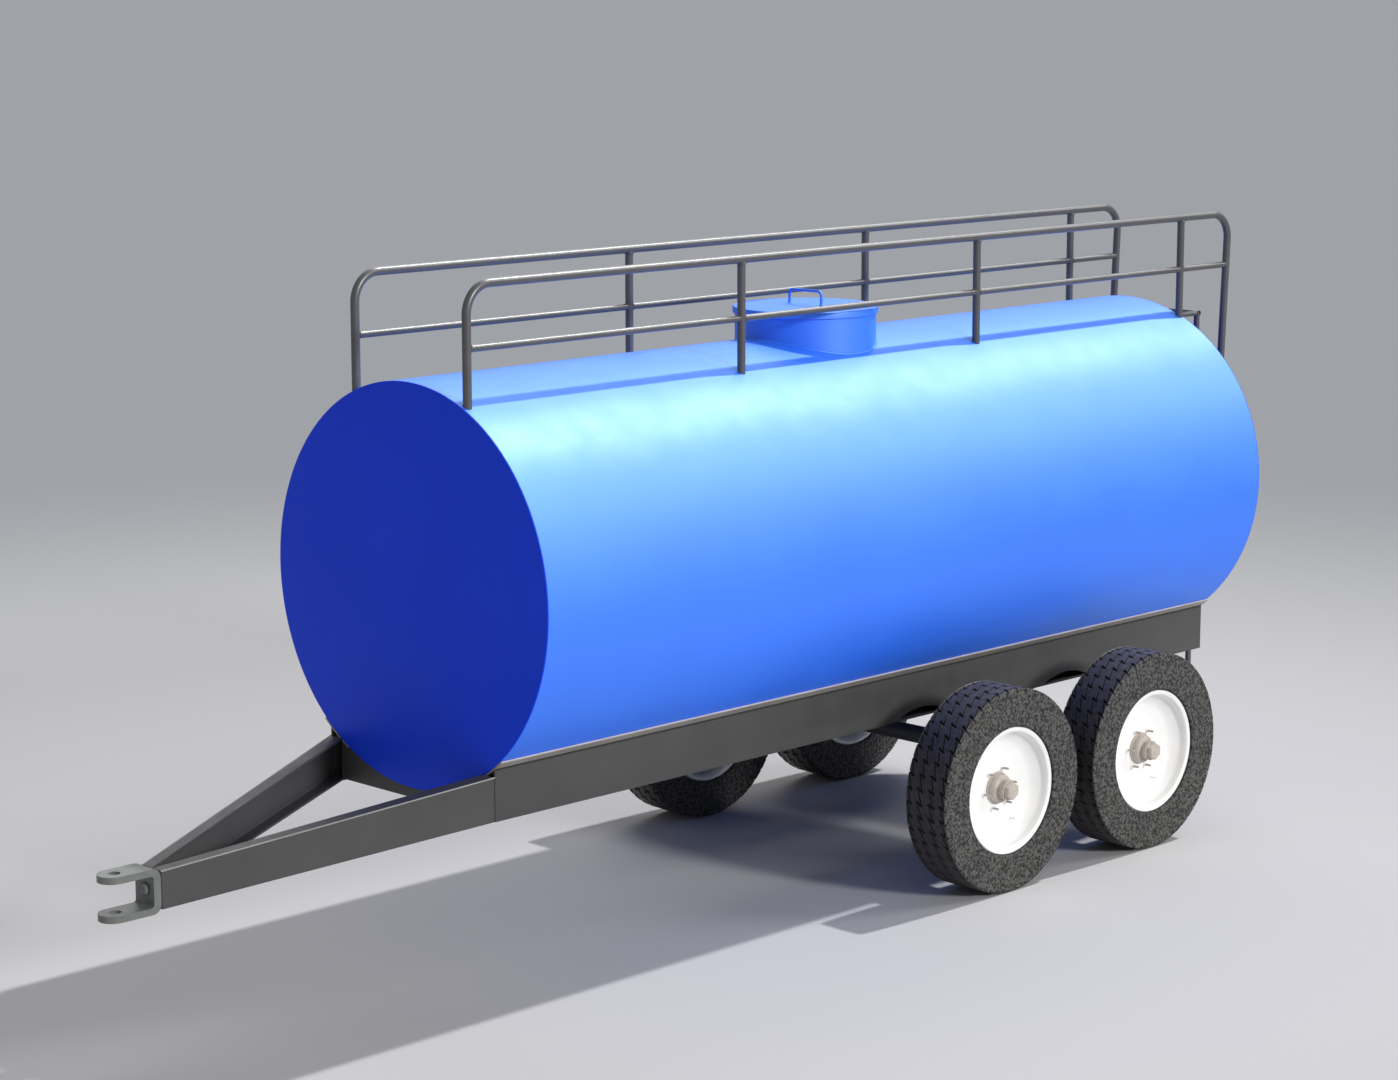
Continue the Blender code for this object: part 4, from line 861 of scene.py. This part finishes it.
def build_hub(label, axle, centre, side, rear, nose):
    """Hub with its base ring, cone, collar and hexagonal nut, and the six studs."""
    mesh = bmesh.new()
    face = DISC_FACE
    back = face - DISC_THICKNESS - SEAM
    tail = rear + 0.0005
    profile = [(0.0, nose), (0.0350, nose), (0.0380, nose - 0.003), (0.0380, nose - 0.025),
               (0.0470, nose - 0.0255), (0.0490, nose - 0.028), (0.0490, nose - 0.036),
               (0.0470, nose - 0.0385), (0.0440, nose - 0.040), (0.0430, nose - 0.050),
               (0.0450, nose - 0.060)]
    profile += [(0.0450 + 0.0275 * math.sin(math.radians(a)), 0.041 + 0.027 * math.cos(math.radians(a)))
                for a in (15, 30, 45, 60, 75, 90)]
    profile += [(0.0725, face + 0.013), (0.0740, face + 0.011), (0.0785, face + 0.010),
                (0.0800, face + 0.008), (0.0800, face + 0.001), (0.0745, face + 0.001),
                (0.0745, back), (0.1285, back),
                (0.1300, back - 0.002), (0.1300, back - 0.014), (0.1285, back - 0.016),
                (0.0675, back - 0.016), (0.0675, tail + 0.002), (0.0660, tail), (0.0390, tail),
                (0.0390, nose - 0.070), (0.0, nose - 0.070)]
    add_lathe(mesh, profile, "y", centre, LATHE_SEGMENTS, closed=False, side=side, hexagonal=(1, 2, 3))
    end = face + STUD_LENGTH
    for spot in stud_places(axle, centre):
        add_lathe(mesh, [(0.0, face), (STUD_RADIUS, face), (STUD_RADIUS, end - 0.0015),
                         (STUD_RADIUS - 0.0012, end), (0.0, end)],
                  "y", spot, STUD_SEGMENTS, closed=False, side=side)
    make(label + "_hub_finish", mesh, HUB_BEIGE, label + "_wheel", (label + "_hub",), angle=30)


def build_wheels():
    """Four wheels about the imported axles."""
    for axle in AXLES:
        for side_name, side in SIDES:
            label = axle + "_" + side_name
            low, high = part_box(label + "_tyre")
            centre = (low + high) / 2
            hub_low, hub_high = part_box(label + "_hub")
            rim_low, rim_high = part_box(label + "_rim")
            radius = centre.z
            half = (high.y - low.y) / 2
            flange = (rim_high.x - rim_low.x) / 2
            edge = (rim_high.y - rim_low.y) / 2
            nose = max(abs(hub_low.y), abs(hub_high.y)) - abs(centre.y)
            rear = min(abs(hub_low.y), abs(hub_high.y)) - abs(centre.y)
            build_tyre(label, centre, side, radius, half, BEAD_RADIUS, edge - BEAD_INSET, flange)
            build_rim(label, axle, centre, side, RIM_SEAT, flange, edge, RIM_WELL, RIM_HOLE)
            build_hub(label, axle, centre, side, rear, nose)
            softened_copy(label + "_brake_drum", DRUM_IRON, width=0.003, smooth=40)
            softened_copy(label + "_stub_axle", CHASSIS_GREY, width=0.002, smooth=40)


# Handrails and ladder

def build_handrails():
    """Bent tubes with their posts, and a small weld ring at each joint."""
    for side_name, side in SIDES:
        node = side_name + "_handrail"
        tube = RAIL_TUBE
        post = tube * RAIL_POST_SHARE
        y = side * RAIL_Y
        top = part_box(node)[1].z - tube
        middle = TANK_AXIS_Z + RAIL_MIDDLE_Z
        front = FRONT_X - RAIL_FRONT
        leg_top = FRONT_X - RAIL_LEG_TOP
        leg_foot = FRONT_X - RAIL_LEG_FOOT
        foot_z = TANK_AXIS_Z + RAIL_LEG_FOOT_Z
        surface = TANK_AXIS_Z + math.sqrt(TANK_RADIUS ** 2 - RAIL_Y ** 2) - RAIL_POST_SINK
        mesh = bmesh.new()
        path = rounded(((front, y, surface), (front, y, top), (leg_top, y, top), (leg_foot, y, foot_z),
                        (REAR_X, y, foot_z)), RAIL_BEND, 14)
        add_tube(mesh, path, tube, THICK_BAR_SIDES)
        for i in range(1, RAIL_POSTS):
            x = front - RAIL_POST_PITCH * i
            add_tube(mesh, ((x, y, surface), (x, y, top)), post, THICK_BAR_SIDES)
        slope = (leg_top - leg_foot) / (top - foot_z)
        middle_end = leg_foot + slope * (middle - foot_z)
        add_tube(mesh, ((front, y, middle), (middle_end, y, middle)), RAIL_MIDDLE_TUBE, THIN_BAR_SIDES)
        make(node + "_tubes", mesh, RAIL_GREY, "chassis", (node,), angle=50)
        rings = bmesh.new()
        size = RAIL_MIDDLE_TUBE
        for i in range(RAIL_POSTS):
            x = front - RAIL_POST_PITCH * i
            for sign in (-1, 1):
                if i == 0 and sign == 1:
                    continue
                add_lathe(rings, ((size, 0.0), (size + 0.0025, 0.001), (size + 0.0035, 0.0035),
                                  (size + 0.002, 0.006), (size, 0.008)), "x",
                          (x + sign * RAIL_RING_REACH - RAIL_RING_HALF, y, middle), THIN_BAR_SIDES)
            if i:
                add_lathe(rings, ((post, 0.0), (tube + 0.003, -0.002), (tube + 0.003, -0.006),
                                  (post, -0.009)), "z", (x, y, top - tube * 0.8), THICK_BAR_SIDES)
        make(node + "_joint_welds", rings, RAIL_GREY, "chassis", angle=60)


def build_ladder():
    """Round stiles, rungs and stays; the top rung is an open pipe."""
    tube = LADDER_TUBE
    rung = tube * LADDER_RUNG_SHARE
    bore = LADDER_RUNG_BORE
    stile_y = LADDER_STILE_Y
    x = FRONT_X - LADDER_BACK
    top = TANK_AXIS_Z + LADDER_TOP_Z
    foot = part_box("rear_ladder")[0].z
    mesh = bmesh.new()
    for sign in (-1, 1):
        add_tube(mesh, ((x, sign * stile_y, foot), (x, sign * stile_y, top)), tube, THIN_BAR_SIDES)
        for z in (top, TANK_AXIS_Z + LADDER_STAY_Z):
            add_tube(mesh, ((x, sign * stile_y, z), (REAR_X, sign * stile_y, z)),
                     tube * LADDER_STAY_SHARE, THIN_BAR_SIDES)
    pitch = (top - foot - 2 * tube) / LADDER_RUNGS
    for i in range(1, LADDER_RUNGS + 1):
        z = top - pitch * i
        add_tube(mesh, ((x, -stile_y, z), (x, stile_y, z)), rung, THIN_BAR_SIDES)
    reach = stile_y + LADDER_RUNG_OVERHANG
    depth = reach - LADDER_BORE_DEPTH
    add_lathe(mesh, [(rung, -reach), (rung, reach), (bore, reach), (bore, depth), (0.0, depth)],
              "y", (x, 0, top), THICK_BAR_SIDES, closed=False)
    add_lathe(mesh, [(rung, -reach), (bore, -reach), (bore, -depth), (0.0, -depth)],
              "y", (x, 0, top), THICK_BAR_SIDES, closed=False)
    bmesh.ops.remove_doubles(mesh, verts=mesh.verts, dist=1e-6)
    make("rear_ladder_tubes", mesh, RAIL_GREY, "chassis", ("rear_ladder",), angle=50)


# Studio

def build_studio():
    """Pale floor with a painted pool of light that fades to the backdrop's grey, lamps, and the camera at
    the photograph's view.
    """
    floor_mat, tree, shader = new_material("studio_floor")
    place = add_node(tree, "ShaderNodeNewGeometry")
    size = add_node(tree, "ShaderNodeVectorMath", operation="LENGTH")
    tree.links.new(place.outputs["Position"], size.inputs[0])
    fade = add_node(tree, "ShaderNodeMapRange", {"From Min": FADE_START, "From Max": FADE_END},
                    interpolation_type="SMOOTHSTEP")
    tree.links.new(size.outputs["Value"], fade.inputs["Value"])
    # Floor colour pale near the middle and darker far off: a painted pool of light
    tone = ramp(tree, fade.outputs["Result"], FLOOR_PAINTED_POOL_NEAR, FLOOR_PAINTED_POOL_FAR, 0.0, 1.0)
    tree.links.new(tone, shader.inputs["Base Color"])
    shader.inputs["Roughness"].default_value = 1.0
    shader.inputs["Specular IOR Level"].default_value = 0.0
    mesh = bmesh.new()
    bmesh.ops.create_circle(mesh, cap_ends=True, segments=96, radius=FLOOR_RADIUS)
    data = bpy.data.meshes.new("floor")
    mesh.to_mesh(data)
    mesh.free()
    data.materials.append(floor_mat)
    floor = bpy.data.objects.new("floor", data)
    bpy.context.scene.collection.objects.link(floor)

    world = bpy.data.worlds.new("studio")
    bpy.context.scene.world = world
    world.use_nodes = True
    tree = world.node_tree
    ambient = tree.nodes["Background"]
    ambient.inputs["Color"].default_value = (*AMBIENT_COLOUR, 1.0)
    ambient.inputs["Strength"].default_value = AMBIENT
    seen = add_node(tree, "ShaderNodeBackground", {"Color": (*BACKDROP, 1.0), "Strength": 1.0})
    rays = add_node(tree, "ShaderNodeLightPath")
    either = rays.outputs["Is Camera Ray"]
    for kind in ("Is Glossy Ray", "Is Transmission Ray"):
        joined = add_node(tree, "ShaderNodeMath", operation="MAXIMUM")
        tree.links.new(either, joined.inputs[0])
        tree.links.new(rays.outputs[kind], joined.inputs[1])
        either = joined.outputs["Value"]
    blend = add_node(tree, "ShaderNodeMixShader")
    tree.links.new(either, blend.inputs["Fac"])
    tree.links.new(ambient.outputs["Background"], blend.inputs[1])
    tree.links.new(seen.outputs["Background"], blend.inputs[2])
    tree.links.new(blend.outputs["Shader"], tree.nodes["World Output"].inputs["Surface"])

    for name, towards, level, angle, colour in LAMPS:
        data = bpy.data.lights.new(name, "SUN")
        data.energy = level * math.pi
        data.angle = math.radians(angle)
        data.color = colour
        lamp = bpy.data.objects.new(name, data)
        lamp.rotation_euler = Vector(towards).to_track_quat("Z", "Y").to_euler()
        bpy.context.scene.collection.objects.link(lamp)

    data = bpy.data.cameras.new("camera")
    data.lens = LENS_MM
    data.sensor_width = SENSOR_MM
    data.sensor_fit = "HORIZONTAL"
    data.clip_end = 2 * FLOOR_RADIUS
    camera = bpy.data.objects.new("camera", data)
    flat = math.cos(CAMERA_PITCH)
    look = Vector((math.sin(CAMERA_YAW) * flat, -math.cos(CAMERA_YAW) * flat, math.sin(CAMERA_PITCH)))
    turn = look.to_track_quat("-Z", "Y") @ Matrix.Rotation(CAMERA_ROLL, 3, "Z").to_quaternion()
    camera.rotation_euler = turn.to_euler()
    ahead, left, above = CAMERA_FROM_TANK
    camera.location = (FRONT_X + ahead, left, TANK_AXIS_Z + above)
    bpy.context.scene.collection.objects.link(camera)
    bpy.context.scene.camera = camera
    bpy.context.scene.view_settings.view_transform = "Standard"


build_tank()
build_manhole()
build_outlet()
build_chassis()
build_welds()
build_wheels()
build_handrails()
build_ladder()
build_studio()
